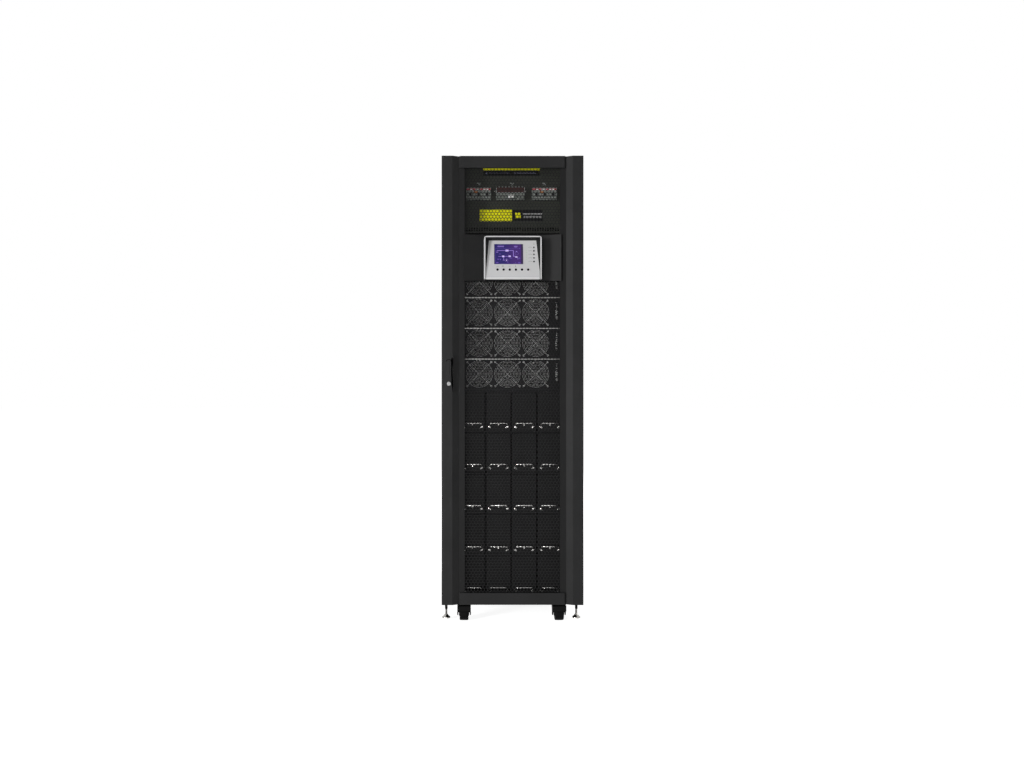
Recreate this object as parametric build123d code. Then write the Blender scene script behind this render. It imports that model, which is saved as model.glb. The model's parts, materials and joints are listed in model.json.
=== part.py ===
"""Modular UPS cabinet, in millimetres.

The origin is on the floor under the middle of the cabinet. The door faces -Y, +X is to the viewer's right
and +Z is up. Every sub-part is written to parts/NODE.step.
"""
import math
import os

from build123d import *

os.makedirs("parts", exist_ok=True)

# Overall sizes
cabinet_width = 600.0
cabinet_height = 1900.0
overall_depth = 1100.0
floor_gap = 85.0
sheet = 2.0
overrun = 1.0
seat_gap = 0.3

# Front door
door_depth = 46.0
console_proud = 22.0
door_gap = 10.0
stile_flat_width = 45.0
bevel_width = 28.0
edge_bend = 2.5
bevel_depth = 12.0
recess_width = 25.0
rail_height = 50.0
rail_proud = 8.0
rail_bend = 7.0
mesh_sheet = 1.5
mesh_lap = 13.0
mesh_columns = 5
mesh_height_share = 2.0
mesh_web = 14.0
mesh_margin = 2.0

# Display plate and console on the door
plate_drop = 528.0
plate_height = 197.0
plate_lap = 5.0
plate_proud = 8.0
plate_dish = 21.0
console_width = 245.0
console_height = 185.0
console_wall = 7.0
console_corner = 12.0
console_margin = 2.0
pocket_lip = 1.0
pocket_draft = 2.0
panel_top_margin = 11.0
panel_top_width = 200.0
panel_straight_height = 34.0
panel_recess = 24.0
panel_sheet = 3.0
screen_width = 121.5
screen_height = 87.0
screen_left = -78.0
screen_bottom = 66.0
screen_sheet = 1.2
button_radius = 5.0
button_height = 2.0
button_pitch = 25.8
button_count = 6
button_level = 42.0
light_radius = 3.5
light_height = 1.0
light_pitch = 14.75
light_count = 5
light_level = 80.0
light_offset = 89.5

# Door handle
handle_plate_width = 37.0
handle_plate_height = 161.0
handle_plate_level_share = 0.4742
handle_plate_thick = 6.0
handle_plate_inset = 12.0
handle_plate_corner = 6.0
lever_width = 19.0
lever_length = 68.0
lever_thick = 7.0
lever_pivot_drop = 35.0
lever_standoff = 4.0
spindle_radius = 4.0
lock_radius = 9.0
lock_height = 3.0
lock_rise = 35.0
key_slot_width = 2.0
key_slot_length = 9.0

# Hinges on the right edge of the door
hinge_inset = 6.0
hinge_back_inset = 5.0
knuckle_radius = 5.0
pin_radius = 2.5
knuckle_sides = 8
knuckle_height = 24.0
door_knuckle_height = 15.0
hinge_notch_depth = 14.0
hinge_notch_gap = 1.0
hinge_leaf_width = 5.0
hinge_foot_width = 28.0
hinge_level_shares = (0.08, 0.50, 0.92)

# Cabinet shell
base_height = 60.0
roof_height = 25.0
base_front_height = 12.0
post_size = 40.0
rear_window_margin = 70.0
rear_window_end_margin = 100.0
rear_window_return = 15.0
cable_entry_width = 300.0
cable_entry_depth = 120.0
cable_entry_inset = 30.0

# Rack inside the cabinet
module_setback = 39.0
module_side_room = 76.5
module_depth = 760.0
rail_gap = 2.5
rail_face_proud = 2.0
rail_return = 34.0
shelf_sheet = 3.0
shelf_proud = 4.0
module_top_gap = 1.0

# Battery modules
battery_pitch = 177.8
battery_case_width = 105.0
battery_floor_room = 3.0
battery_gap = 6.0
battery_corner = 2.0
pull_width = 80.0
pull_bar_width = 64.0
pull_reach = 20.0
pull_sheet = 3.0
pull_height = 5.0
pull_rise = 8.0
pull_level = 19.8

# Power modules and fans
power_pitch = 133.35
power_count = 4
fan_count = 3
fan_room_share = 0.8877
light_strip_width = 33.0
fan_well_radius_share = 0.4653
fan_well_sides = 16
fan_well_depth = 38.0
rotor_radius_share = 0.4245
rotor_hub_radius_share = 0.1633
rotor_hub_sides = 10
rotor_depth = 24.0
rotor_setback = 5.0
shaft_radius = 1.5
shaft_length = 12.0
blade_count = 5
blade_sheet = 2.0
blade_pitch_angle = 25.0
motor_radius = 16.0
motor_sides = 8
guard_screw_span_share = 0.8571
guard_ring_radius_shares = (0.1633, 0.3184, 0.4735)
guard_ring_sides = 8
guard_eye_sides = 4
guard_wire = 2.0
guard_eye_radius = 4.0
module_light_width = 8.0
module_light_height = 4.0
module_light_thick = 1.0
module_light_pitch = 9.0
module_light_count = 3
module_light_inset = 28.5

# Switch panel above the modules
stack_gap = 7.0
stack_lip_height = 6.0
bypass_height = 145.0
switch_height = 298.6
switch_top_gap = 12.0
switch_return = 30.0
breaker_bottom_rise = 142.0
breaker_height = 52.0
breaker_proud = 24.0
breaker_back = 60.0
breaker_shoulder = 9.0
breaker_nose_share = 0.46
breaker_side_width = 107.0
breaker_middle_width = 122.0
breaker_middle_shift_share = 0.18
toggle_count = 3
toggle_width = 12.0
toggle_height = 12.0
toggle_proud = 5.0
toggle_level_share = 0.385
guard_cover_height = 25.0
guard_cover_thick = 5.0
slot_height = 15.0
slot_width = 5.0
slot_pitch = 11.0
slot_side_margin = 14.0
slot_rise = 9.0
ledge_rise = 30.0
ledge_height = 3.0
ledge_proud = 4.0

# Casters and levelling feet
caster_side_inset = 95.0
caster_end_inset = 40.0
caster_plate_size = 80.0
caster_plate_thick = 4.0
race_radius = 22.0
race_height = 6.0
king_pin_radius = 5.0
king_head_radius = 9.0
king_head_height = 2.0
fork_disc_height = 7.0
fork_sheet = 4.0
fork_inner_width = 50.0
fork_foot_radius = 12.0
fork_top_length = 40.0
wheel_radius = 29.0
wheel_width = 38.0
wheel_sides = 24
wheel_tread_chamfer = 3.0
wheel_hub_width = 44.0
wheel_hub_radius = 11.0
wheel_trail = -16.0
axle_radius = 5.0
axle_width = 60.0
foot_side_inset = 18.0
foot_end_inset = 36.0
round_sides = 12
foot_lift = 6.0
foot_radius = 18.0
foot_rim = 5.0
foot_sides = 10
foot_cone_height = 11.0
foot_neck_radius = 8.0
foot_rod_radius = 5.0
foot_nut_radius = 6.5
foot_nut_height = 16.0
foot_nut_sides = 6
foot_rod_sides = 8

# Places that follow from the sizes above
half_width = cabinet_width / 2
cabinet_bottom = floor_gap
cabinet_top = floor_gap + cabinet_height
cabinet_back = overall_depth / 2
door_front = console_proud - overall_depth / 2
door_back = door_front + door_depth
cabinet_front = door_back + door_gap
bevel_start = half_width - stile_flat_width
recess_start = bevel_start - bevel_width
window_half = recess_start - recess_width
recess_front = door_front + bevel_depth
recess_back = recess_front + sheet
plate_bottom = cabinet_top - plate_drop
plate_top = plate_bottom + plate_height
plate_half = window_half + plate_lap
plate_front = recess_front - plate_proud
plate_floor = plate_front + plate_dish
console_bottom = plate_bottom + console_margin
console_front = door_front - console_proud
inner_half = half_width - sheet
post_inner = inner_half - post_size
module_width = cabinet_width - 2 * module_side_room
module_half = module_width / 2
module_front = cabinet_front + module_setback
module_back = module_front + module_depth
rail_inner = module_half + rail_gap
base_floor = cabinet_bottom + sheet
shell_bottom = cabinet_bottom + base_height
shell_top = cabinet_top - roof_height
switch_top = cabinet_top - switch_top_gap
switch_bottom = switch_top - switch_height
bypass_bottom = switch_bottom - bypass_height
power_bottom = bypass_bottom - power_count * power_pitch
battery_top = power_bottom - stack_gap
battery_rows = int((battery_top - base_floor - shelf_sheet - battery_floor_room) / battery_pitch)
battery_bottom = battery_top - battery_rows * battery_pitch
battery_columns = int(module_width / battery_case_width)
fan_pitch = fan_room_share * (module_width - light_strip_width) / fan_count
fan_offset = -light_strip_width / 2
fan_well_radius = fan_well_radius_share * fan_pitch
rotor_radius = rotor_radius_share * fan_pitch
rotor_hub_radius = rotor_hub_radius_share * fan_pitch
guard_screw_span = guard_screw_span_share * fan_pitch
fork_disc_top = cabinet_bottom - caster_plate_thick - race_height - seat_gap
fork_disc_low = fork_disc_top - fork_disc_height
breaker_space = (module_width - 2 * breaker_side_width - breaker_middle_width) / 4
breaker_side_offset = module_half - breaker_space - breaker_side_width / 2
breaker_middle_offset = -breaker_middle_shift_share * breaker_space
slot_count = int((module_width - 2 * slot_side_margin) / slot_pitch)
caster_side_offset = half_width - caster_side_inset
foot_side_offset = half_width - foot_side_inset
pivot_x = half_width - hinge_inset
pivot_y = door_back - hinge_back_inset
handle_x = -half_width + handle_plate_inset + handle_plate_width / 2
handle_plate_bottom = cabinet_bottom + handle_plate_level_share * cabinet_height
handle_top = handle_plate_bottom + handle_plate_height
handle_z = handle_top - lever_pivot_drop
handle_face = door_front - handle_plate_thick


def block(x_range, y_range, z_range):
    """A box between two corners."""
    lows = (x_range[0], y_range[0], z_range[0])
    spans = (x_range[1] - x_range[0], y_range[1] - y_range[0], z_range[1] - z_range[0])
    return Pos(*lows) * Box(*spans, align=(Align.MIN, Align.MIN, Align.MIN))


def rod(radius, span, sides):
    """A bar that stands on the origin, round or with a number of flats."""
    if sides:
        return extrude(RegularPolygon(radius, sides), amount=span)
    return Cylinder(radius, span, align=(Align.CENTER, Align.CENTER, Align.MIN))


def rod_x(y, z, radius, x_range, sides=None):
    """A bar along X."""
    return Pos(x_range[0], y, z) * Rot(0, 90, 0) * rod(radius, x_range[1] - x_range[0], sides)


def rod_y(x, z, radius, y_range, sides=None):
    """A bar along Y."""
    return Pos(x, y_range[1], z) * Rot(90, 0, 0) * rod(radius, y_range[1] - y_range[0], sides)


def rod_z(x, y, radius, z_range, sides=None):
    """A bar along Z."""
    return Pos(x, y, z_range[0]) * rod(radius, z_range[1] - z_range[0], sides)


def centred(middle, width):
    """The range of a width about its middle."""
    return (middle - width / 2, middle + width / 2)


def steps(count, pitch):
    """Places of a centred row."""
    return [(i - (count - 1) / 2) * pitch for i in range(count)]


def joined(pieces):
    """One solid from overlapping or touching pieces."""
    result = pieces[0]
    for piece in pieces[1:]:
        result = result + piece
    return result


def folded_outline(points, thickness):
    """Corner points of a bent sheet whose one face follows the points and whose body lies to their left."""
    directions = []
    for start, end in zip(points, points[1:]):
        span = math.dist(start, end)
        directions.append(((end[0] - start[0]) / span, (end[1] - start[1]) / span))
    offset = []
    for index, point in enumerate(points):
        before = directions[max(index - 1, 0)]
        after = directions[min(index, len(directions) - 1)]
        mitre = (-before[1] - after[1], before[0] + after[0])
        scale = thickness / (1 + before[0] * after[0] + before[1] * after[1])
        offset.append((point[0] + mitre[0] * scale, point[1] + mitre[1] * scale))
    return list(points) + offset[::-1]


def upright_prism(points, z_range):
    """A vertical prism from a plan outline."""
    face = make_face(Polyline(*[(x, y, z_range[0]) for x, y in points], close=True))
    return extrude(face, amount=z_range[1] - z_range[0], dir=(0, 0, 1))


def side_prism(points, x_range):
    """A prism along X from points in Y and Z."""
    face = make_face(Polyline(*[(x_range[0], y, z) for y, z in points], close=True))
    return extrude(face, amount=x_range[1] - x_range[0], dir=(1, 0, 0))


def polygon(points):
    """A flat face from its corners."""
    return make_face(Polyline(*points, close=True)).face()


def save(name, *solids):
    """Write one node."""
    export_step(Compound(children=[solid.solid() for solid in solids]), f"parts/{name}.step")


# Cabinet shell


def base_frame():
    """Folded tray with a low front edge and a cable entry at the rear."""
    y_range = (cabinet_front, cabinet_back)
    tray = block((-half_width, half_width), y_range, (cabinet_bottom, shell_bottom))
    inner_y = (cabinet_front + sheet, cabinet_back - sheet)
    tray -= block((-inner_half, inner_half), inner_y, (base_floor, shell_bottom + overrun))
    low_edge = (base_floor + base_front_height - sheet, shell_bottom + overrun)
    tray -= block((-inner_half, inner_half), (cabinet_front - overrun, cabinet_front + sheet), low_edge)
    entry_back = cabinet_back - cable_entry_inset
    entry_y = (entry_back - cable_entry_depth, entry_back)
    floor_z = (cabinet_bottom - overrun, base_floor + overrun)
    return tray - block(centred(0, cable_entry_width), entry_y, floor_z)


def roof_panel():
    """Inverted tray over the posts."""
    roof = block((-half_width, half_width), (cabinet_front, cabinet_back), (shell_top, cabinet_top))
    inner_y = (cabinet_front + sheet, cabinet_back - sheet)
    return roof - block((-inner_half, inner_half), inner_y, (shell_top - overrun, cabinet_top - sheet))


def corner_posts():
    """Four square tubes between the floor sheet and the roof."""
    posts = []
    z_range = (base_floor, cabinet_top - sheet)
    rear_y = cabinet_back - sheet - post_size
    for low_y in (cabinet_front + sheet, rear_y):
        for low_x in (-inner_half, post_inner):
            tube = block((low_x, low_x + post_size), (low_y, low_y + post_size), z_range)
            bore_x = (low_x + sheet, low_x + post_size - sheet)
            bore_y = (low_y + sheet, low_y + post_size - sheet)
            posts.append(tube - block(bore_x, bore_y, (z_range[0] - overrun, z_range[1] + overrun)))
    return posts


def side_panel(side):
    """Plain sheet between base and roof."""
    x_range = sorted((side * inner_half, side * half_width))
    return block(x_range, (cabinet_front, cabinet_back), (shell_bottom, shell_top))


def rear_panel():
    """Sheet with its window edges folded inwards to carry the mesh."""
    inner_y = cabinet_back - rear_window_return
    panel = block((-inner_half, inner_half), (cabinet_back - sheet, cabinet_back), (shell_bottom, shell_top))
    window_x = half_width - rear_window_margin
    window_z = (shell_bottom + rear_window_end_margin, shell_top - rear_window_end_margin)
    rim_x = window_x + sheet
    rim_z = (window_z[0] - sheet, window_z[1] + sheet)
    panel += block((-rim_x, rim_x), (inner_y, cabinet_back), rim_z)
    cut_y = (inner_y - overrun, cabinet_back + overrun)
    return panel - block((-window_x, window_x), cut_y, window_z)


def rear_mesh():
    """Perforated sheet on the folded window edges, drawn without its holes."""
    half = half_width - rear_window_margin + mesh_lap
    z_low = shell_bottom + rear_window_end_margin - mesh_lap
    z_high = shell_top - rear_window_end_margin + mesh_lap
    y_back = cabinet_back - rear_window_return
    return block((-half, half), (y_back - mesh_sheet, y_back), (z_low, z_high))


# Rack and modules


def rack_rails():
    """Four upright angles that carry the shelves."""
    rails = []
    z_range = (base_floor, cabinet_top - sheet)
    for side in (-1, 1):
        for face_y, turn in ((module_front - rail_face_proud, 1), (module_back, -1)):
            face_range = sorted((face_y, face_y + turn * sheet))
            return_range = sorted((face_y, face_y + turn * rail_return))
            face = block(sorted((side * rail_inner, side * post_inner)), face_range, z_range)
            leg = block(sorted((side * rail_inner, side * (rail_inner + sheet))), return_range, z_range)
            rails.append(face + leg)
    return rails


def shelf(level):
    """Plate whose top is at the level and whose front edge shows between the modules."""
    y_range = (module_front - shelf_proud, module_back)
    return block((-rail_inner, rail_inner), y_range, (level - shelf_sheet, level))


def power_shelves():
    """Zinc plates between and over the power modules."""
    return [shelf(power_bottom + (row + 1) * power_pitch) for row in range(power_count)]


def battery_shelves():
    """Dark plates under the battery rows and a lipped one under the lowest power module."""
    plates = [shelf(battery_bottom + row * battery_pitch) for row in range(battery_rows)]
    lip_y = (module_front - shelf_proud, module_front - shelf_proud + shelf_sheet)
    lip_z = (power_bottom - shelf_sheet - stack_lip_height, power_bottom)
    return plates + [shelf(power_bottom) + block((-rail_inner, rail_inner), lip_y, lip_z)]


def battery_modules():
    """Closed cases, four to a row."""
    pitch = module_width / battery_columns
    height = battery_pitch - shelf_sheet - module_top_gap
    cases = []
    for row in range(battery_rows):
        low = battery_bottom + row * battery_pitch
        for x in steps(battery_columns, pitch):
            case = block(centred(x, pitch - battery_gap), (module_front, module_back), (low, low + height))
            front_edges = case.faces().sort_by(Axis.Y)[0].edges()
            cases.append(chamfer(front_edges, battery_corner))
    return cases


def battery_handles():
    """Bent strap handle, tilted up from its feet, near the foot of each battery module."""
    handles = []
    spread = (pull_width - pull_bar_width) / 2 / pull_reach
    root = pull_width / 2 + spread * pull_sheet
    outline = [
        (-root, pull_sheet),
        (-pull_bar_width / 2, -pull_reach),
        (pull_bar_width / 2, -pull_reach),
        (root, pull_sheet),
    ]
    tilt = math.degrees(math.asin(pull_rise / pull_reach))
    strap = Rot(-tilt, 0, 0) * upright_prism(folded_outline(outline, pull_sheet), (0, pull_height))
    strap -= block(centred(0, 2 * pull_width), (0, pull_reach), (-pull_reach, pull_reach))
    for row in range(battery_rows):
        low = battery_bottom + row * battery_pitch + pull_level
        for x in steps(battery_columns, module_width / battery_columns):
            handles.append(Pos(x, module_front, low) * strap)
    return handles


def fan_places():
    """Middle of each fan, row by row."""
    places = []
    for row in range(power_count):
        z = power_bottom + (row + 1 / 2) * power_pitch
        for x in steps(fan_count, fan_pitch):
            places.append((fan_offset + x, z))
    return places


def power_module(row):
    """Case with a row of round fan wells, each with its motor boss and shaft."""
    low = power_bottom + row * power_pitch
    height = power_pitch - shelf_sheet - module_top_gap
    case = block(centred(0, module_width), (module_front, module_back), (low, low + height))
    well_back = module_front + fan_well_depth
    for x, z in fan_places()[row * fan_count:(row + 1) * fan_count]:
        case -= rod_y(x, z, fan_well_radius, (module_front - overrun, well_back), fan_well_sides)
        boss_front = module_front + rotor_setback + rotor_depth + seat_gap
        case += rod_y(x, z, motor_radius, (boss_front, well_back), motor_sides)
        case += rod_y(x, z, shaft_radius, (boss_front - shaft_length, boss_front), motor_sides)
    return case


def fan_rotor(x, z):
    """Hub with pitched blades and a blind bore for the shaft."""
    front = module_front + rotor_setback
    back = front + rotor_depth
    hub = rod_y(0, 0, rotor_hub_radius, (front, back), rotor_hub_sides)
    bore = rod_y(0, 0, shaft_radius + seat_gap, (back - shaft_length, back + overrun))
    blade_root = rotor_hub_radius - blade_sheet
    blade_span = rotor_radius - blade_root
    chord = (rotor_depth - 2 * blade_sheet) / math.cos(math.radians(blade_pitch_angle))
    blade = Rot(0, 0, blade_pitch_angle) * Box(blade_sheet, chord, blade_span)
    blade = Pos(0, front + rotor_depth / 2, blade_root + blade_span / 2) * blade
    blades = [Rot(0, 360 * i / blade_count, 0) * blade for i in range(blade_count)]
    return Pos(x, 0, z) * (joined([hub] + blades) - bore)


def fan_guard(x, z):
    """Rings welded on crossed legs with an eye at each screw."""
    leg = Rectangle(guard_screw_span * math.sqrt(2), guard_wire)
    cross = Rot(0, 0, 45) * leg + Rot(0, 0, 135) * leg
    half = guard_screw_span / 2
    for eye_x in (-half, half):
        for eye_y in (-half, half):
            cross += Pos(eye_x, eye_y) * RegularPolygon(guard_eye_radius, guard_eye_sides)
    facing = Pos(x, module_front, z) * Rot(90, 0, 0)
    wires = [facing * extrude(cross, amount=guard_wire)]
    for share in guard_ring_radius_shares:
        radius = share * fan_pitch
        outer = RegularPolygon(radius + guard_wire / 2, guard_ring_sides)
        inner = RegularPolygon(radius - guard_wire / 2, guard_ring_sides)
        ring = extrude(outer - inner, amount=guard_wire)
        wires.append(facing * Pos(0, 0, guard_wire) * ring)
    return wires


def module_lights():
    """Small windows on the right of each power module."""
    lights = []
    for row in range(power_count):
        middle = power_bottom + (row + 1 / 2) * power_pitch
        for z in steps(module_light_count, module_light_pitch):
            y_range = (module_front - module_light_thick, module_front)
            z_range = centred(middle + z, module_light_height)
            x_range = centred(module_half - module_light_inset, module_light_width)
            lights.append(block(x_range, y_range, z_range))
    return lights


def bypass_module():
    """Blank case behind the display plate."""
    z_range = (bypass_bottom, switch_bottom - module_top_gap)
    return block((-module_half, module_half), (module_front, module_back), z_range)


# Switch panel


def breaker_places():
    """Middle and width of each breaker."""
    return [
        (-breaker_side_offset, breaker_side_width),
        (breaker_middle_offset, breaker_middle_width),
        (breaker_side_offset, breaker_side_width),
    ]


def switch_panel():
    """Folded tray with breaker cut-outs, a ledge and a row of vent slots under it."""
    z_range = (switch_bottom, switch_top)
    y_range = (module_front - rail_face_proud, module_front - rail_face_proud + switch_return)
    tray = block((-rail_inner, rail_inner), y_range, z_range)
    inner_x = (sheet - rail_inner, rail_inner - sheet)
    inner_z = (switch_bottom + sheet, switch_top - sheet)
    tray -= block(inner_x, (y_range[0] + sheet, y_range[1] + overrun), inner_z)
    cut_y = (y_range[0] - overrun, y_range[0] + sheet + overrun)
    low = switch_bottom + breaker_bottom_rise
    for x, width in breaker_places():
        cut_z = (low - seat_gap, low + breaker_height + seat_gap)
        tray -= block(centred(x, width + 2 * seat_gap), cut_y, cut_z)
    slot_z = (switch_bottom + slot_rise, switch_bottom + slot_rise + slot_height)
    for x in steps(slot_count, slot_pitch):
        tray -= block(centred(x, slot_width), cut_y, slot_z)
    ledge_z = (switch_bottom + ledge_rise, switch_bottom + ledge_rise + ledge_height)
    return tray + block((-module_half, module_half), (y_range[0] - ledge_proud, y_range[0]), ledge_z)


def breaker(x, width):
    """Moulded case with a raised nose across its front and levers on the uncovered ones."""
    low = switch_bottom + breaker_bottom_rise
    high = low + breaker_height
    face = module_front - rail_face_proud
    front = face - breaker_proud
    shoulder = front + breaker_shoulder
    nose = breaker_height * breaker_nose_share / 2
    middle = (low + high) / 2
    outline = [
        (face + breaker_back, low),
        (shoulder, low),
        (shoulder, middle - nose),
        (front, middle - nose),
        (front, middle + nose),
        (shoulder, middle + nose),
        (shoulder, high),
        (face + breaker_back, high),
    ]
    case = side_prism(outline, centred(x, width))
    if x == breaker_middle_offset:
        return case
    lever_z = centred(low + toggle_level_share * breaker_height, toggle_height)
    for offset in steps(toggle_count, width / toggle_count):
        case += block(centred(x + offset, toggle_width), (front - toggle_proud, front), lever_z)
    return case


def breaker_guard():
    """Cover over the upper half of the middle breaker."""
    high = switch_bottom + breaker_bottom_rise + breaker_height
    front = module_front - rail_face_proud - breaker_proud
    y_range = (front - guard_cover_thick, front)
    z_range = (high - guard_cover_height, high)
    return block(centred(breaker_middle_offset, breaker_middle_width), y_range, z_range)


# Front door


def hinge_levels():
    """Middle height of each hinge."""
    return [cabinet_bottom + share * cabinet_height for share in hinge_level_shares]


def door_frame():
    """Folded stiles, rail trays and end caps, with hinge knuckles on the right."""
    z_range = (cabinet_bottom, cabinet_top)
    fold = [
        (-half_width, door_back),
        (-half_width, door_front + edge_bend),
        (edge_bend - half_width, door_front),
        (-bevel_start, door_front),
        (-recess_start, recess_front),
        (-window_half, recess_front),
    ]
    stile = upright_prism(folded_outline(fold, sheet), z_range)
    frame = stile + mirror(stile, about=Plane.YZ)
    cap_outline = fold[:5] + [(-x, y) for x, y in fold[:5]][::-1]
    for low in (cabinet_bottom, cabinet_top - sheet):
        frame += upright_prism(cap_outline, (low, low + sheet))
    for low in (cabinet_bottom, cabinet_top - rail_height):
        frame += door_rail(low)
    hole_y = (door_front - overrun, door_front + sheet + overrun)
    frame -= rod_y(handle_x, handle_z, spindle_radius + seat_gap, hole_y, round_sides)
    for level in hinge_levels():
        frame = with_knuckles(frame, level)
    return frame


def door_rail(low):
    """Tray across the door with bent ends."""
    front = recess_front - rail_proud
    left = [
        (-recess_start, recess_back),
        (-recess_start, front + rail_bend),
        (rail_bend - recess_start, front),
    ]
    outline = left + [(-x, y) for x, y in left][::-1]
    rail = upright_prism(folded_outline(outline, sheet), (low, low + rail_height))
    for flange in (low, low + rail_height - sheet):
        rail += upright_prism(outline, (flange, flange + sheet))
    return rail


def with_knuckles(frame, level):
    """Cut the hinge notch and add the door's two knuckles."""
    half = knuckle_height / 2 + hinge_notch_gap
    notch_x = (pivot_x - knuckle_radius - overrun, half_width + overrun)
    notch_y = (pivot_y - hinge_notch_depth, door_back + overrun)
    frame -= block(notch_x, notch_y, (level - half, level + half))
    for z_range in (
        (level + half, level + half + door_knuckle_height),
        (level - half - door_knuckle_height, level - half),
    ):
        knuckle = rod_z(pivot_x, pivot_y, knuckle_radius, z_range, knuckle_sides)
        bore_z = (z_range[0] - overrun, z_range[1] + overrun)
        bore = rod_z(pivot_x, pivot_y, pin_radius + seat_gap, bore_z, knuckle_sides)
        frame = frame + knuckle - bore
    return frame


def hinge_brackets():
    """Knuckle, pin and leaf on the cabinet's front edge."""
    brackets = []
    foot_y = (cabinet_front - sheet, cabinet_front)
    for level in hinge_levels():
        z_range = centred(level, knuckle_height)
        knuckle = rod_z(pivot_x, pivot_y, knuckle_radius, z_range, knuckle_sides)
        pin_z = centred(level, knuckle_height + 2 * door_knuckle_height)
        pin = rod_z(pivot_x, pivot_y, pin_radius, pin_z)
        leaf = block(centred(pivot_x, hinge_leaf_width), (pivot_y, cabinet_front), z_range)
        foot = block((inner_half - hinge_foot_width, inner_half), foot_y, z_range)
        brackets.append(joined([knuckle, pin, leaf, foot]))
    return brackets


def door_mesh(z_range, window_z):
    """Sheet behind the recessed stiles, with a plain grid of openings where it spans the window."""
    height = window_z[1] - window_z[0] - 2 * mesh_margin
    x_pitch = 2 * (window_half - mesh_margin) / mesh_columns
    rows = int(height / (x_pitch * mesh_height_share))
    z_pitch = height / rows
    middle = (window_z[0] + window_z[1]) / 2
    cut_y = (recess_back - overrun, recess_back + mesh_sheet + overrun)
    cuts = []
    for x in steps(mesh_columns, x_pitch):
        for z in steps(rows, z_pitch):
            cuts.append(block(centred(x, x_pitch - mesh_web), cut_y, centred(middle + z, z_pitch - mesh_web)))
    half = window_half + mesh_lap
    return block((-half, half), (recess_back, recess_back + mesh_sheet), z_range) - cuts


def display_plate():
    """Dished cross plate with closed ends."""
    half = console_width / 2
    fold = [
        (-plate_half, recess_front),
        (-plate_half, plate_front),
        (-half, plate_floor),
        (half, plate_floor),
        (plate_half, plate_front),
        (plate_half, recess_front),
    ]
    plate = upright_prism(folded_outline(fold, sheet), (plate_bottom, plate_top))
    rim = window_half - seat_gap
    rim_y = plate_front + (plate_half - rim) * plate_dish / (plate_half - half)
    back = plate_floor + sheet
    cap = [(-rim, rim_y), (-half, plate_floor), (half, plate_floor), (rim, rim_y), (rim, back), (-rim, back)]
    for low in (plate_bottom, plate_top - sheet):
        plate += upright_prism(cap, (low, low + sheet))
    return plate


# Console on the display plate


def console_plane():
    """Plane of the tilted control panel, origin at its lower edge."""
    rise = console_height - console_wall - panel_top_margin
    tilt = math.atan2(panel_recess, rise)
    lower_edge = (0, console_front + pocket_lip + panel_sheet, console_bottom)
    outward = (0, -math.cos(tilt), math.sin(tilt))
    return Plane(origin=lower_edge, x_dir=(1, 0, 0), z_dir=outward), math.hypot(rise, panel_recess)


def panel_outline():
    """Corners of the control panel in its plane, straight below and narrowing above."""
    length = console_plane()[1]
    low_half = console_width / 2 - console_wall - pocket_draft
    right = [(low_half, 0), (low_half, panel_straight_height), (panel_top_width / 2, length)]
    return right + [(-x, level) for x, level in right][::-1]


def display_bezel():
    """Hood with rounded upper corners, open below."""
    half = console_width / 2
    top = console_bottom + console_height
    y_range = (console_front, plate_floor)
    hood = block((-half, half), y_range, (console_bottom, top))
    corners = hood.edges().filter_by(Axis.Y).group_by(Axis.Z)[-1]
    hood = fillet(corners, console_corner)
    inner = block(
        (console_wall - half, half - console_wall),
        (y_range[0] - overrun, y_range[1] + overrun),
        (console_bottom - overrun, top - console_wall),
    )
    return hood - inner


def display_housing():
    """Dark body inside the hood with a drafted pocket for the control panel."""
    half = console_width / 2 - console_wall
    top = console_bottom + console_height - console_wall
    front = console_front + pocket_lip
    body = block((-half, half), (front, plate_floor), (console_bottom, top))
    plane = console_plane()[0]
    floor = [plane.from_local_coords((x, y, 0)) for x, y in panel_outline()]
    mouth_y = front - overrun
    levels = [console_bottom, console_bottom + panel_straight_height, top]
    mouth = [(half, mouth_y, z) for z in levels] + [(-half, mouth_y, z) for z in levels[::-1]]
    faces = [polygon(floor), polygon(mouth)]
    for index in range(len(floor)):
        after = (index + 1) % len(floor)
        faces.append(polygon([floor[index], floor[after], mouth[after]]))
        faces.append(polygon([floor[index], mouth[after], mouth[index]]))
    return body - Solid(Shell(faces))


def control_panel():
    """Tilted plate in the pocket."""
    plane = console_plane()[0]
    face = make_face(Polyline(*[(x, y) for x, y in panel_outline()], close=True))
    return plane * extrude(face, amount=panel_sheet)


def on_panel(x, level, piece):
    """Put a piece on the face of the control panel."""
    plane = console_plane()[0]
    return plane * (Pos(x, level, panel_sheet) * piece)


def lcd_screen():
    """Glass pane."""
    pane = Box(screen_width, screen_height, screen_sheet, align=(Align.MIN, Align.MIN, Align.MIN))
    return on_panel(screen_left, screen_bottom, pane)


def display_buttons():
    """Row of round buttons under the screen."""
    button = rod(button_radius, button_height, round_sides)
    return [on_panel(x, button_level, button) for x in steps(button_count, button_pitch)]


def indicator_lights():
    """Column of round lights on the right."""
    light = rod(light_radius, light_height, round_sides)
    return [on_panel(light_offset, light_level + i * light_pitch, light) for i in range(light_count)]


# Door handle


def handle_plate():
    """Backing plate with rounded corners."""
    x_range = centred(handle_x, handle_plate_width)
    plate = block(x_range, (handle_face, door_front), (handle_plate_bottom, handle_top))
    plate = fillet(plate.edges().filter_by(Axis.Y), handle_plate_corner)
    hole_y = (handle_face - overrun, door_front + overrun)
    return plate - rod_y(handle_x, handle_z, spindle_radius + seat_gap, hole_y, round_sides)


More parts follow.
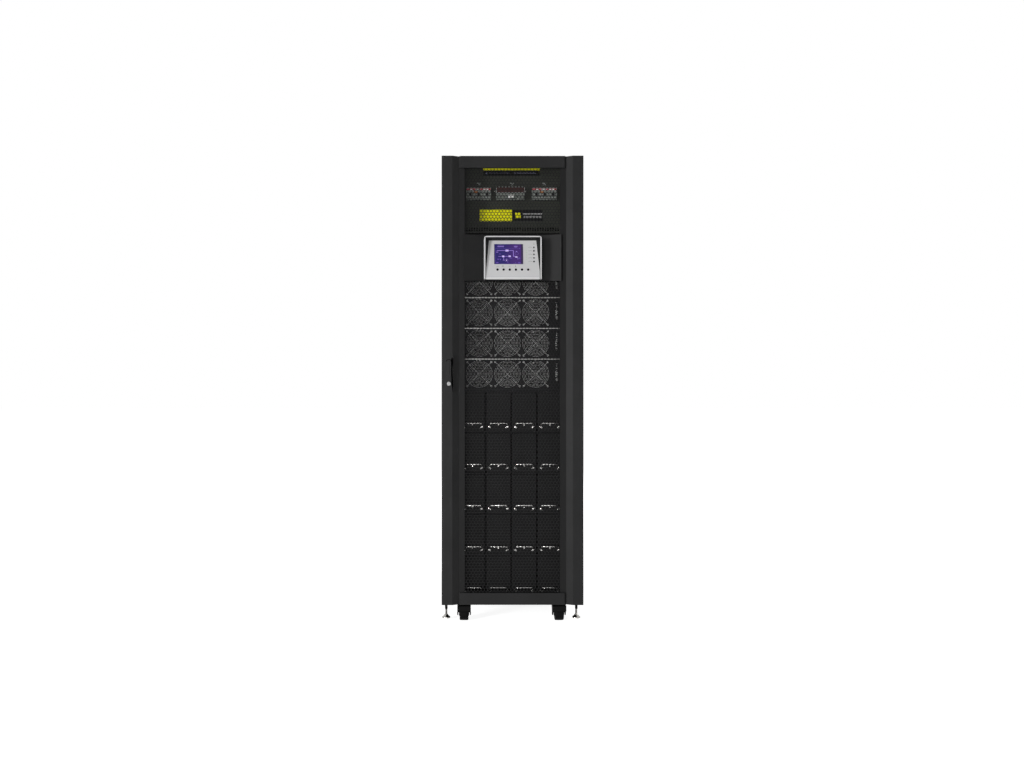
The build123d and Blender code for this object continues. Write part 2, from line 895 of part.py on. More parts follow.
def lock_cylinder():
    """Round key cylinder with its slot."""
    z = handle_plate_bottom + lock_rise
    front = handle_face - lock_height
    barrel = rod_y(handle_x, z, lock_radius, (front, handle_face), round_sides)
    slot_y = (front - overrun, front + lock_height / 2)
    return barrel - block(centred(handle_x, key_slot_width), slot_y, centred(z, key_slot_length))


def door_handle():
    """Lever on a boss with its spindle through the door."""
    boss_back = handle_face - seat_gap
    lever_back = boss_back - lever_standoff
    boss = rod_y(handle_x, handle_z, lever_width / 2, (lever_back, boss_back), round_sides)
    spindle = rod_y(handle_x, handle_z, spindle_radius, (lever_back, door_front + 2 * sheet))
    lever_z = (handle_z + lever_width / 2 - lever_length, handle_z + lever_width / 2)
    lever = block(centred(handle_x, lever_width), (lever_back - lever_thick, lever_back), lever_z)
    lever = fillet(lever.edges().filter_by(Axis.Y).group_by(Axis.Z)[-1], lever_width / 2 - seat_gap)
    return joined([boss, spindle, lever])


# Casters and feet


def caster_places():
    """Name and swivel centre of each caster."""
    places = {}
    for end, y in (
        ("front", cabinet_front + caster_end_inset),
        ("rear", cabinet_back - caster_end_inset),
    ):
        for side, x in (("left", -caster_side_offset), ("right", caster_side_offset)):
            places[f"{end}_{side}"] = (x, y)
    return places


def caster_plates():
    """Mounting plate, upper race and headed king pin of each caster."""
    plates = []
    plate_low = cabinet_bottom - caster_plate_thick
    for x, y in caster_places().values():
        plate_y = centred(y, caster_plate_size)
        plate = block(centred(x, caster_plate_size), plate_y, (plate_low, cabinet_bottom))
        race = rod_z(x, y, race_radius, (plate_low - race_height, plate_low), round_sides)
        head_top = fork_disc_low - seat_gap
        pin = rod_z(x, y, king_pin_radius, (head_top, plate_low), round_sides)
        head = rod_z(x, y, king_head_radius, (head_top - king_head_height, head_top), round_sides)
        plates.append(joined([plate, race, pin, head]))
    return plates


def caster_fork(x, y):
    """Swivel disc bored for the king pin, two legs and the axle."""
    disc_radius = fork_inner_width / 2 + fork_sheet
    disc = rod_z(0, 0, disc_radius, (fork_disc_low, fork_disc_top))
    bore_z = (fork_disc_low - overrun, fork_disc_top + overrun)
    pieces = [disc - rod_z(0, 0, king_pin_radius + seat_gap, bore_z, round_sides)]
    half = fork_inner_width / 2
    leg_outline = [
        (-fork_top_length / 2, fork_disc_top),
        (fork_top_length / 2, fork_disc_top),
        (wheel_trail + fork_foot_radius, wheel_radius),
        (wheel_trail + fork_foot_radius / 2, wheel_radius - fork_foot_radius),
        (wheel_trail - fork_foot_radius / 2, wheel_radius - fork_foot_radius),
        (wheel_trail - fork_foot_radius, wheel_radius),
    ]
    for low_x in (-half - fork_sheet, half):
        pieces.append(side_prism(leg_outline, (low_x, low_x + fork_sheet)))
    pieces.append(rod_x(wheel_trail, wheel_radius, axle_radius, centred(0, axle_width), round_sides))
    return Pos(x, y, 0) * joined(pieces)


def caster_wheel(x, y):
    """Tread with chamfered shoulders on a longer hub, bored for the axle, with a flat on the floor."""
    half_step = 180 / wheel_sides
    corner_radius = wheel_radius / math.cos(math.radians(half_step))
    wheel = Rot(half_step, 0, 0) * rod_x(0, 0, corner_radius, centred(0, wheel_width), wheel_sides)
    wheel = chamfer(wheel.edges() - wheel.edges().filter_by(Axis.X), wheel_tread_chamfer)
    wheel += rod_x(0, 0, wheel_hub_radius, centred(0, wheel_hub_width), round_sides)
    wheel -= rod_x(0, 0, axle_radius + seat_gap, centred(0, wheel_hub_width + 2 * overrun))
    return Pos(x, y + wheel_trail, wheel_radius) * wheel


def levelling_feet():
    """Threaded foot with its nut under each corner."""
    feet = []
    rod_low = foot_lift + foot_rim
    for y in (cabinet_front + foot_end_inset, cabinet_back - foot_end_inset):
        for x in (-foot_side_offset, foot_side_offset):
            rim = rod_z(x, y, foot_radius, (foot_lift, rod_low), foot_sides)
            neck = Pos(0, 0, foot_cone_height) * RegularPolygon(foot_neck_radius, foot_sides)
            flare = loft([RegularPolygon(foot_radius, foot_sides), neck], ruled=True)
            thread = rod_z(x, y, foot_rod_radius, (rod_low, cabinet_bottom), foot_rod_sides)
            nut_z = (cabinet_bottom - foot_nut_height, cabinet_bottom)
            nut = rod_z(x, y, foot_nut_radius, nut_z, foot_nut_sides)
            feet.append(joined([rim, Pos(x, y, rod_low) * flare, thread, nut]))
    return feet


def build():
    """Write every node."""
    save("base_frame", base_frame())
    save("roof_panel", roof_panel())
    save("corner_posts", *corner_posts())
    save("side_panel_left", side_panel(-1))
    save("side_panel_right", side_panel(1))
    save("rear_panel", rear_panel())
    save("rear_mesh", rear_mesh())
    save("rack_rails", *rack_rails())
    save("power_shelves", *power_shelves())
    save("battery_shelves", *battery_shelves())
    save("battery_modules", *battery_modules())
    save("battery_handles", *battery_handles())
    save("bypass_module", bypass_module())
    for row in range(power_count):
        save(f"power_module_{row + 1}", power_module(row))
    save("fan_guards", *[wire for x, z in fan_places() for wire in fan_guard(x, z)])
    for index, (x, z) in enumerate(fan_places()):
        save(f"fan_rotor_{index + 1:02d}", fan_rotor(x, z))
    save("module_lights", *module_lights())
    save("switch_panel", switch_panel())
    save("breakers", *[breaker(x, width) for x, width in breaker_places()])
    save("breaker_guard", breaker_guard())
    save("door_frame", door_frame())
    upper_end = cabinet_top - rail_height
    lower_end = cabinet_bottom + rail_height
    save("door_mesh_upper", door_mesh((plate_top, upper_end + mesh_lap), (plate_top, upper_end)))
    save("door_mesh_lower", door_mesh((lower_end - mesh_lap, plate_bottom), (lower_end, plate_bottom)))
    save("hinge_brackets", *hinge_brackets())
    save("display_plate", display_plate())
    save("display_bezel", display_bezel())
    save("display_housing", display_housing())
    save("control_panel", control_panel())
    save("lcd_screen", lcd_screen())
    save("display_buttons", *display_buttons())
    save("indicator_lights", *indicator_lights())
    save("handle_plate", handle_plate())
    save("lock_cylinder", lock_cylinder())
    save("door_handle", door_handle())
    save("caster_plates", *caster_plates())
    for place, (x, y) in caster_places().items():
        save(f"caster_fork_{place}", caster_fork(x, y))
        save(f"caster_wheel_{place}", caster_wheel(x, y))
    save("levelling_feet", *levelling_feet())


build()
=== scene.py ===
"""Looks of the modular UPS cabinet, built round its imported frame, in metres."""
import json
import math

import bmesh
import bpy
from mathutils import Matrix, Vector


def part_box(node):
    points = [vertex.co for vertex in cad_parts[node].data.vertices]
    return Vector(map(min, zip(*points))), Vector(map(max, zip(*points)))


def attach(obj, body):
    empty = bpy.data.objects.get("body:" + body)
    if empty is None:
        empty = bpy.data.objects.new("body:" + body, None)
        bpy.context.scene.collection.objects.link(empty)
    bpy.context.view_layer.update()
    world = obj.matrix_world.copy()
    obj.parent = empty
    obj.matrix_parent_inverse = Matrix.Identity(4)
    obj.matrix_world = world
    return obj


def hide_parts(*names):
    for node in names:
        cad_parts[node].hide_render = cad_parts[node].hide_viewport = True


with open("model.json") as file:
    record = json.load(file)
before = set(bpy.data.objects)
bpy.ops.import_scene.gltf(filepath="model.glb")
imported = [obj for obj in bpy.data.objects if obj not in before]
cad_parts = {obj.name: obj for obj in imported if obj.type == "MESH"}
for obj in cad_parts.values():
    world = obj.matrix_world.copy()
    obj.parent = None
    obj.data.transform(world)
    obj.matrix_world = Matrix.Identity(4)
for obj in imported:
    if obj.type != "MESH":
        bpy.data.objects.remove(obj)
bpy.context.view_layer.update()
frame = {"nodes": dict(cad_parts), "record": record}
nodes = frame["nodes"]

MM = 0.001
IMAGE_WIDTH = 1024

# Camera, from the door's width and the parallax of the modules behind it
CAMERA_DISTANCE = 3.5
CAMERA_HEIGHT = 1.0197
CAMERA_SIDE = -0.216
DOOR_PIXELS = 141.95
DOOR_MIDDLE_PIXEL = 512.6
SENSOR = 36.0
DOOR_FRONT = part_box("door_frame")[0].y
DOOR_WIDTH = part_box("door_frame")[1].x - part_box("door_frame")[0].x


def add_camera():
    """Level camera in front of the door, shifted sideways as in the photograph."""
    focal_pixels = DOOR_PIXELS / DOOR_WIDTH * CAMERA_DISTANCE
    data = bpy.data.cameras.new("camera")
    data.sensor_width = SENSOR
    data.lens = focal_pixels * SENSOR / IMAGE_WIDTH
    side_pixels = -CAMERA_SIDE * focal_pixels / CAMERA_DISTANCE
    data.shift_x = (IMAGE_WIDTH / 2 + side_pixels - DOOR_MIDDLE_PIXEL) / IMAGE_WIDTH
    data.clip_end = 50
    camera = bpy.data.objects.new("camera", data)
    camera.location = (CAMERA_SIDE, DOOR_FRONT - CAMERA_DISTANCE, CAMERA_HEIGHT)
    camera.rotation_euler = (math.pi / 2, 0, 0)
    bpy.context.scene.collection.objects.link(camera)
    bpy.context.scene.camera = camera


# Materials


def new_material(name):
    """Material with its node tree and its shader."""
    material = bpy.data.materials.new(name)
    material.use_nodes = True
    return material, material.node_tree, material.node_tree.nodes["Principled BSDF"]


def noise(tree, scale, detail=3.0, stretch=(1, 1, 1)):
    """Noise over the object's own coordinates."""
    place = tree.nodes.new("ShaderNodeTexCoord")
    mapping = tree.nodes.new("ShaderNodeMapping")
    mapping.inputs["Scale"].default_value = stretch
    texture = tree.nodes.new("ShaderNodeTexNoise")
    texture.inputs["Scale"].default_value = scale
    texture.inputs["Detail"].default_value = detail
    tree.links.new(place.outputs["Object"], mapping.inputs["Vector"])
    tree.links.new(mapping.outputs["Vector"], texture.inputs["Vector"])
    return texture.outputs["Fac"]


def ramp(tree, value, low, high):
    """Colour ramp between two colours over the middle of a noise."""
    node = tree.nodes.new("ShaderNodeValToRGB")
    node.color_ramp.elements[0].position = 0.3
    node.color_ramp.elements[1].position = 0.7
    node.color_ramp.elements[0].color = low
    node.color_ramp.elements[1].color = high
    tree.links.new(value, node.inputs["Fac"])
    return node.outputs["Color"]


def spread(tree, value, low, high):
    """Map a noise to a range of numbers."""
    node = tree.nodes.new("ShaderNodeMapRange")
    node.inputs["From Min"].default_value = 0.3
    node.inputs["From Max"].default_value = 0.7
    node.inputs["To Min"].default_value = low
    node.inputs["To Max"].default_value = high
    tree.links.new(value, node.inputs["Value"])
    return node.outputs["Result"]


def add_bump(tree, shader, value, distance, strength=1.0):
    """Bump from a height."""
    node = tree.nodes.new("ShaderNodeBump")
    node.inputs["Distance"].default_value = distance
    node.inputs["Strength"].default_value = strength
    tree.links.new(value, node.inputs["Height"])
    tree.links.new(node.outputs["Normal"], shader.inputs["Normal"])


def shade(colour, factor):
    """A colour made lighter or darker."""
    return tuple(channel * factor for channel in colour) + (1.0,)


def painted(name, colour, roughness, grain, relief, variation=0.12, gloss=0.1):
    """Paint or moulded plastic with a fine grain."""
    material, tree, shader = new_material(name)
    tree.links.new(
        ramp(tree, noise(tree, 9.0), shade(colour, 1 - variation), shade(colour, 1 + variation)),
        shader.inputs["Base Color"],
    )
    wear = spread(tree, noise(tree, 25.0), roughness - 0.02, roughness + 0.03)
    tree.links.new(wear, shader.inputs["Roughness"])
    shader.inputs["Specular IOR Level"].default_value = gloss
    add_bump(tree, shader, noise(tree, 1 / grain, 2.0), relief)
    return material


def ink(name, colour, roughness=0.5, variation=0.05):
    """Ink or film with hardly any relief."""
    return painted(name, colour, roughness, INK_GRAIN, INK_RELIEF, variation)


def metal(name, colour, roughness, stretch=(1, 1, 1), scale=300.0, relief=0.00003):
    """Bare or plated metal with faint streaks."""
    material, tree, shader = new_material(name)
    shader.inputs["Metallic"].default_value = 1.0
    streaks = noise(tree, scale, 4.0, stretch)
    tone = ramp(tree, streaks, shade(colour, 0.86), shade(colour, 1.06))
    tree.links.new(tone, shader.inputs["Base Color"])
    tree.links.new(spread(tree, streaks, roughness - 0.07, roughness + 0.1), shader.inputs["Roughness"])
    add_bump(tree, shader, streaks, relief)
    return material


def glowing(name, colour, other=None, roughness=0.35):
    """Lit marks on the screen, or a lit ground that changes colour across the screen."""
    material, tree, shader = new_material(name)
    if other:
        place = tree.nodes.new("ShaderNodeTexCoord")
        parts = tree.nodes.new("ShaderNodeSeparateXYZ")
        tree.links.new(place.outputs["Object"], parts.inputs["Vector"])
        across = tree.nodes.new("ShaderNodeMapRange")
        across.inputs["From Min"].default_value, across.inputs["From Max"].default_value = SCREEN_REACH
        tree.links.new(parts.outputs["X"], across.inputs["Value"])
        value = across.outputs["Result"]
    else:
        value = noise(tree, 60.0)
    glow = ramp(tree, value, shade(colour, 0.9), shade(other or colour, 1.1))
    tree.links.new(glow, shader.inputs["Emission Color"])
    shader.inputs["Base Color"].default_value = shade(colour, 0.2)
    shader.inputs["Emission Strength"].default_value = 1.0
    shader.inputs["Roughness"].default_value = roughness
    shader.inputs["Specular IOR Level"].default_value = 0.3
    return material


def light_band_paint(name, colour, factor, band):
    """Powder coat whose tone inside a band across and up the sheet is multiplied by a factor: painted shade
    where the factor is under one, painted light where it is over one.
    """
    material = painted(name, colour, 0.5, 0.0011, 0.00012)
    tree = material.node_tree
    shader = tree.nodes["Principled BSDF"]
    plain = shader.inputs["Base Color"].links[0].from_socket
    place = tree.nodes.new("ShaderNodeTexCoord")
    parts = tree.nodes.new("ShaderNodeSeparateXYZ")
    tree.links.new(place.outputs["Object"], parts.inputs["Vector"])
    inside = None
    for axis, (low, high) in zip(("X", "Z"), band):
        test = tree.nodes.new("ShaderNodeMath")
        test.operation = "COMPARE"
        test.inputs[1].default_value = (low + high) / 2
        test.inputs[2].default_value = (high - low) / 2
        tree.links.new(parts.outputs[axis], test.inputs[0])
        if inside:
            both = tree.nodes.new("ShaderNodeMath")
            both.operation = "MULTIPLY"
            tree.links.new(inside, both.inputs[0])
            tree.links.new(test.outputs["Value"], both.inputs[1])
            inside = both.outputs["Value"]
        else:
            inside = test.outputs["Value"]
    mix = tree.nodes.new("ShaderNodeMix")
    mix.data_type = "RGBA"
    tree.links.new(inside, mix.inputs["Factor"])
    tree.links.new(plain, mix.inputs["A"])
    mix.inputs["B"].default_value = shade(colour, factor)
    tree.links.new(mix.outputs["Result"], shader.inputs["Base Color"])
    return material


def hole_shade_paint(name, colour, hole, pitch, radius):
    """Dark paint with a grid of small round holes seen from the front, drawn as dots of painted shade."""
    material = painted(name, colour, 0.5, 0.0014, 0.00008)
    tree = material.node_tree
    shader = tree.nodes["Principled BSDF"]
    plain = shader.inputs["Base Color"].links[0].from_socket
    place = tree.nodes.new("ShaderNodeTexCoord")
    parts = tree.nodes.new("ShaderNodeSeparateXYZ")
    flat = tree.nodes.new("ShaderNodeCombineXYZ")
    tree.links.new(place.outputs["Object"], parts.inputs["Vector"])
    tree.links.new(parts.outputs["X"], flat.inputs["X"])
    tree.links.new(parts.outputs["Z"], flat.inputs["Y"])
    cells = tree.nodes.new("ShaderNodeTexVoronoi")
    cells.voronoi_dimensions = "2D"
    cells.inputs["Scale"].default_value = 1 / pitch
    cells.inputs["Randomness"].default_value = 0.0
    tree.links.new(flat.outputs["Vector"], cells.inputs["Vector"])
    # Inside each dot the colour is painted shade that stands for the hole's depth
    inside = tree.nodes.new("ShaderNodeMath")
    inside.operation = "LESS_THAN"
    inside.inputs[1].default_value = radius / pitch
    tree.links.new(cells.outputs["Distance"], inside.inputs[0])
    mix = tree.nodes.new("ShaderNodeMix")
    mix.data_type = "RGBA"
    tree.links.new(inside.outputs["Value"], mix.inputs["Factor"])
    tree.links.new(plain, mix.inputs["A"])
    mix.inputs["B"].default_value = hole + (1.0,)
    tree.links.new(mix.outputs["Result"], shader.inputs["Base Color"])
    return material


INK_GRAIN = 2 * MM
INK_RELIEF = 0.01 * MM
# Bands of painted shade and painted light, from left to right and from lower to upper edge
# Painted shade in the door frame's recessed strips inside the bevels
DOOR_RECESS_SHADE_BAND = ((-0.2285, 0.2285), (0.135, 1.935))
# Painted light on the display plate's right wing
PLATE_LIT_WING_BAND = ((0.12, 0.21), (1.4, 1.7))
COAT_TONE = (0.019, 0.019, 0.0193)
# Near black of painted shade for the holes of the battery fronts
HOLE_SHADE_TONE = (0.002, 0.002, 0.002)
SCREEN_REACH = (-0.078, 0.044)

# Paints: colour, roughness, grain and relief in metres, then the spread of tone and the gloss
BLACK_COAT = painted("black_powder_coat", COAT_TONE, 0.5, 0.0011, 0.00012, 0.04)
# Door coat with painted shade, at 0.56 of its tone, in the recesses of the door frame
DOOR_COAT_RECESS_SHADED = light_band_paint("door_coat_recess_shade", COAT_TONE, 0.56, DOOR_RECESS_SHADE_BAND)
# Display plate coat darker than the door's as painted shade on its left wing, with painted light at 1.5
# times that tone on its right wing
PLATE_COAT_LIT_AND_SHADED = light_band_paint("plate_coat_light_and_shade", (0.0135, 0.0135, 0.0137), 1.5, PLATE_LIT_WING_BAND)
MESH_COAT = painted("mesh_powder_coat", (0.016, 0.016, 0.0165), 0.55, 0.0011, 0.00008)
CASE_PAINT = painted("dark_case_paint", (0.008, 0.008, 0.0088), 0.5, 0.0014, 0.00008)
# Battery fronts with their round holes as dots of painted shade
GRILLE_PAINT_HOLE_SHADE = hole_shade_paint("battery_grille_hole_shade", (0.0115, 0.0115, 0.012), HOLE_SHADE_TONE, 0.0064, 0.0021)
PANEL_PAINT = painted("switch_panel_paint", (0.036, 0.039, 0.032), 0.55, 0.0012, 0.00008)
BLACK_PLASTIC = painted("black_plastic", (0.010, 0.010, 0.011), 0.42, 0.0008, 0.00005)
FAN_PLASTIC = painted("fan_plastic", (0.026, 0.026, 0.027), 0.4, 0.0008, 0.00005)
HANDLE_PLASTIC = painted("handle_plastic", (0.0165, 0.0165, 0.017), 0.38, 0.0007, 0.00004)
HOUSING_PLASTIC = painted("housing_plastic", (0.012, 0.013, 0.013), 0.5, 0.0008, 0.00005)
SILVER_PLASTIC = painted("silver_plastic", (0.59, 0.59, 0.595), 0.35, 0.0006, 0.00002, 0.03, 0.5)
GREY_PLASTIC = painted("grey_plastic", (0.56, 0.56, 0.565), 0.5, 0.0008, 0.00003, 0.03)
PALE_PLASTIC = painted("pale_plastic", (0.63, 0.63, 0.635), 0.5, 0.0008, 0.00003, 0.03)
BROWN_PLASTIC = painted("brown_guard_plastic", (0.050, 0.024, 0.022), 0.3, 0.001, 0.00002)
BREAKER_PLASTIC = painted("breaker_plastic", (0.17, 0.185, 0.170), 0.45, 0.0009, 0.00004)
YELLOW_FILM = ink("yellow_film", (0.94, 0.90, 0.01), 0.45)
BLACK_FILM = ink("black_film", (0.003, 0.003, 0.004), 0.35, 0.12)
WHITE_INK = ink("white_ink", (0.90, 0.90, 0.88))
DIM_INK = ink("dim_ink", (0.42, 0.43, 0.42))
MODULE_INK = ink("module_ink", (0.62, 0.62, 0.61))
PALE_INK = ink("pale_lavender_ink", (0.27, 0.27, 0.40))
PANEL_INK = ink("panel_ink", (0.26, 0.27, 0.27))
GREEN_INK = ink("faint_green_ink", (0.44, 0.55, 0.42))
RED_INK = ink("red_ink", (0.62, 0.09, 0.12), 0.45, 0.12)
ORANGE_INK = ink("orange_ink", (0.45, 0.17, 0.06), 0.45, 0.12)
# Painted shade, near black: dark lines round the display plate, the vent slots, the lever's recess and its
# cast shadow
SHADE_BLACK = painted("unlit_gap", (0.0015, 0.0015, 0.0015), 0.7, 0.002, 0.00001, 0.1, 0.0)
# Painted shade, dark film: screw cross recesses, the lock's shadow ring, the key slot and the rail holes
SHADE_DARK = ink("dark_painted_shade", (0.012, 0.012, 0.013), 0.5, 0.12)
ZINC = metal("zinc_plate", (0.50, 0.495, 0.48), 0.34, (1, 1, 0.2))
BRIGHT_STEEL = metal("bright_steel", (0.72, 0.71, 0.69), 0.22, (0.2, 1, 1))
GUARD_WIRE = painted("guard_wire", (0.50, 0.50, 0.49), 0.35, 0.0006, 0.00001, 0.1, 0.5)
CASTER_PAINT = painted("caster_black_paint", (0.005, 0.005, 0.005), 0.5, 0.0009, 0.00005, 0.12, 0.05)
LOCK_STEEL = metal("lock_steel", (0.20, 0.20, 0.20), 0.3)
FOOT_STEEL = metal("foot_steel", (0.44, 0.43, 0.41), 0.2)
TREAD = painted("caster_tread", (0.004, 0.004, 0.0042), 0.55, 0.0012, 0.00008, 0.12, 0.05)
LENS_DARK = painted("dark_lens", (0.010, 0.012, 0.012), 0.2, 0.001, 0.00001, 0.1, 0.5)
SCREEN_GLASS = glowing("screen_glow", (0.0095, 0.005, 0.108), (0.038, 0.007, 0.115), 0.12)
SCREEN_LINE = glowing("screen_lines", (0.21, 0.135, 0.46))
SCREEN_DIM = glowing("screen_dim_lines", (0.085, 0.045, 0.28))
SCREEN_BRIGHT = glowing("screen_bright", (0.70, 0.56, 0.98))
SCREEN_DARK = glowing("screen_band", (0.019, 0.008, 0.045))

# A node in neither list is in the black powder coat, or is replaced further down
NODE_MATERIALS = {
    "door_frame": DOOR_COAT_RECESS_SHADED,
    "display_plate": PLATE_COAT_LIT_AND_SHADED,
    "battery_modules": GRILLE_PAINT_HOLE_SHADE,
    "battery_shelves": CASE_PAINT,
    "bypass_module": CASE_PAINT,
    "switch_panel": PANEL_PAINT,
    "power_shelves": ZINC,
    "caster_plates": CASTER_PAINT,
    "handle_plate": HANDLE_PLASTIC,
    "door_handle": HANDLE_PLASTIC,
    "display_housing": HOUSING_PLASTIC,
    "breakers": BREAKER_PLASTIC,
    "breaker_guard": BROWN_PLASTIC,
    "control_panel": GREY_PLASTIC,
    "lcd_screen": SCREEN_GLASS,
    "module_lights": DIM_INK,
}
FAMILY_MATERIALS = {"power_module": CASE_PAINT, "fan_rotor": FAN_PLASTIC}


def dress_nodes():
    """Give each CAD node its material, or else the black powder coat."""
    for name, item in nodes.items():
        family = [material for start, material in FAMILY_MATERIALS.items() if name.startswith(start)]
        material = NODE_MATERIALS.get(name) or (family[0] if family else BLACK_COAT)
        item.data.materials.clear()
        item.data.materials.append(material)


# Mesh pieces


def add_piece(name, mesh, material, body, smooth=False):
    """Link a mesh as a piece that rides on a body."""
    mesh.materials.append(material)
    for polygon in mesh.polygons:
        polygon.use_smooth = smooth
    if smooth:
        mesh.set_sharp_from_angle(angle=math.radians(38))
    item = bpy.data.objects.new(name, mesh)
    bpy.context.scene.collection.objects.link(item)
    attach(item, body)
    return item


def mesh_from(name, vertices, faces):
    """Mesh with its normals made outward."""
    mesh = bpy.data.meshes.new(name)
    mesh.from_pydata(vertices, [], faces)
    tool = bmesh.new()
    tool.from_mesh(mesh)
    bmesh.ops.recalc_face_normals(tool, faces=tool.faces)
    tool.to_mesh(mesh)
    tool.free()
    mesh.update()
    return mesh


def box_parts(low, high, bevel):
    """Vertices and faces of a box whose front edges are bevelled."""
    x0, y0, z0 = low
    x1, y1, z1 = high
    b = bevel
    front = [(x0 + b, y0, z0 + b), (x1 - b, y0, z0 + b), (x1 - b, y0, z1 - b), (x0 + b, y0, z1 - b)]
    middle = [(x0, y0 + b, z0), (x1, y0 + b, z0), (x1, y0 + b, z1), (x0, y0 + b, z1)]
    back = [(x0, y1, z0), (x1, y1, z0), (x1, y1, z1), (x0, y1, z1)]
    faces = [(0, 1, 2, 3), (11, 10, 9, 8)]
    for i in range(4):
        j = (i + 1) % 4
        faces.append((i, i + 4, j + 4, j))
        faces.append((i + 4, i + 8, j + 8, j + 4))
    return front + middle + back, faces


def merged(shapes):
    """Vertices and faces of several shapes as one."""
    vertices, faces = [], []
    for points, sides in shapes:
        faces += [tuple(len(vertices) + i for i in side) for side in sides]
        vertices += points
    return vertices, faces


def shapes_piece(name, shapes, material, body, smooth=True):
    """One piece of several shapes."""
    return add_piece(name, mesh_from(name, *merged(shapes)), material, body, smooth)


def plates(name, boxes, material, body, bevel=0.0002, place=None):
    """One piece of several small plates that face the front, or lie on a placed plane."""
    vertices, faces = merged([box_parts(low, high, bevel) for low, high in boxes])
    if place:
        vertices = [place(point) for point in vertices]
    return add_piece(name, mesh_from(name, vertices, faces), material, body)


def metres(pairs, across=0.0, up=0.0):
    """Pairs of millimetres in metres, counted from a point."""
    return [(across + a * MM, up + b * MM) for a, b in pairs]


def front_box(x, z, width, height, y_front, depth):
    """Corners of a plate by its middle, its size and its front."""
    low = (x - width / 2, y_front, z - height / 2)
    return low, (x + width / 2, y_front + depth, z + height / 2)


def turned(profile, segments, at, axis="y"):
    """Shape turned from radii and heights. Heights run to the front, to the right or up."""
    points, faces = [], []
    for radius, height in profile:
        for i in range(segments):
            angle = 2 * math.pi * i / segments
            across, up = radius * math.cos(angle), radius * math.sin(angle)
            spot = {"y": (across, -height, up), "x": (height, across, up), "z": (across, up, height)}[axis]
            points.append(tuple(a + b for a, b in zip(at, spot)))
    for level in range(len(profile) - 1):
        for i in range(segments):
            j = (i + 1) % segments
            a, b = level * segments, (level + 1) * segments
            faces.append((a + i, a + j, b + j, b + i))
    faces.append(tuple(range(segments)))
    faces.append(tuple(len(points) - segments + i for i in range(segments)))
    return points, faces


def ring(radius, wire, at, segments=36, sides=6):
    """Round wire bent to a circle that faces the front."""
    points, faces = [], []
    for i in range(segments):
        angle = 2 * math.pi * i / segments
        for k in range(sides):
            turn = 2 * math.pi * k / sides
            reach = radius + wire * math.cos(turn)
            spot = (reach * math.cos(angle), wire * math.sin(turn), reach * math.sin(angle))
            points.append(tuple(a + b for a, b in zip(at, spot)))
    for i in range(segments):
        for k in range(sides):
            j, m = (i + 1) % segments, (k + 1) % sides
            faces.append((i * sides + k, i * sides + m, j * sides + m, j * sides + k))
    return points, faces


def tube(path, radius, sides=8):
    """Round bar along points, closed at both ends."""
    points, faces = [], []
    spots = [Vector(spot) for spot in path]
    for index, spot in enumerate(spots):
        before = spots[max(index - 1, 0)]
        after = spots[min(index + 1, len(spots) - 1)]
        turn = (after - before).to_track_quat("Z", "X")
        for k in range(sides):
            angle = 2 * math.pi * k / sides
            rim = Vector((radius * math.cos(angle), radius * math.sin(angle), 0))
            points.append(tuple(spot + turn @ rim))
    for level in range(len(spots) - 1):
        for k in range(sides):
            m = (k + 1) % sides
            a, b = level * sides, (level + 1) * sides
            faces.append((a + k, a + m, b + m, b + k))
    faces.append(tuple(range(sides)))
    faces.append(tuple(len(points) - sides + k for k in range(sides)))
    return points, faces


def prism(outline, ends, axis):
    """Outline drawn out along an axis: side by height along y, or depth by height along x."""
    points = [(end, a, b) if axis == "x" else (a, end, b) for end in ends for a, b in outline]
    count = len(outline)
    faces = [tuple(range(count)), tuple(range(count, 2 * count))]
    faces += [(i, (i + 1) % count, count + (i + 1) % count, count + i) for i in range(count)]
    return points, faces


def screw_heads(name, spots, radius, body, material=None):
    """Domed screw heads that face the front, each with a cross recess drawn as dark plates of painted
    shade.
    """
    dome = [(1.0, 0.0), (1.0, 0.25), (0.72, 0.55), (0.25, 0.66)]
    heads = [turned([(radius * r, radius * h) for r, h in dome], 14, spot) for spot in spots]
    shapes_piece(name, heads, material or BRIGHT_STEEL, body)
    # Cross recesses as thin dark plates of painted shade
    arms = []
    for x, y, z in spots:
        front = y - radius * 0.68
        for width, height in ((0.9, 0.2), (0.2, 0.9)):
            arms.append(front_box(x, z, radius * width, radius * height, front, radius * 0.1))
    plates(name + "_recesses", arms, SHADE_DARK, body, 0.0)


# Perforated sheets

CELL_PITCH = 13.98 * MM
ROW_PITCH = 11.9 * MM
CELL_WEB = 2.3 * MM
# Corners that agree to a hundredth of a millimetre are one
CORNERS_PER_METRE = 1e5
SHEET_LAP = 13 * MM
REAR_LAP = 14 * MM
EDGE_LAP = 1.5 * MM
EDGE_SKIN = 0.05 * MM
DOOR_RAIL = 50 * MM


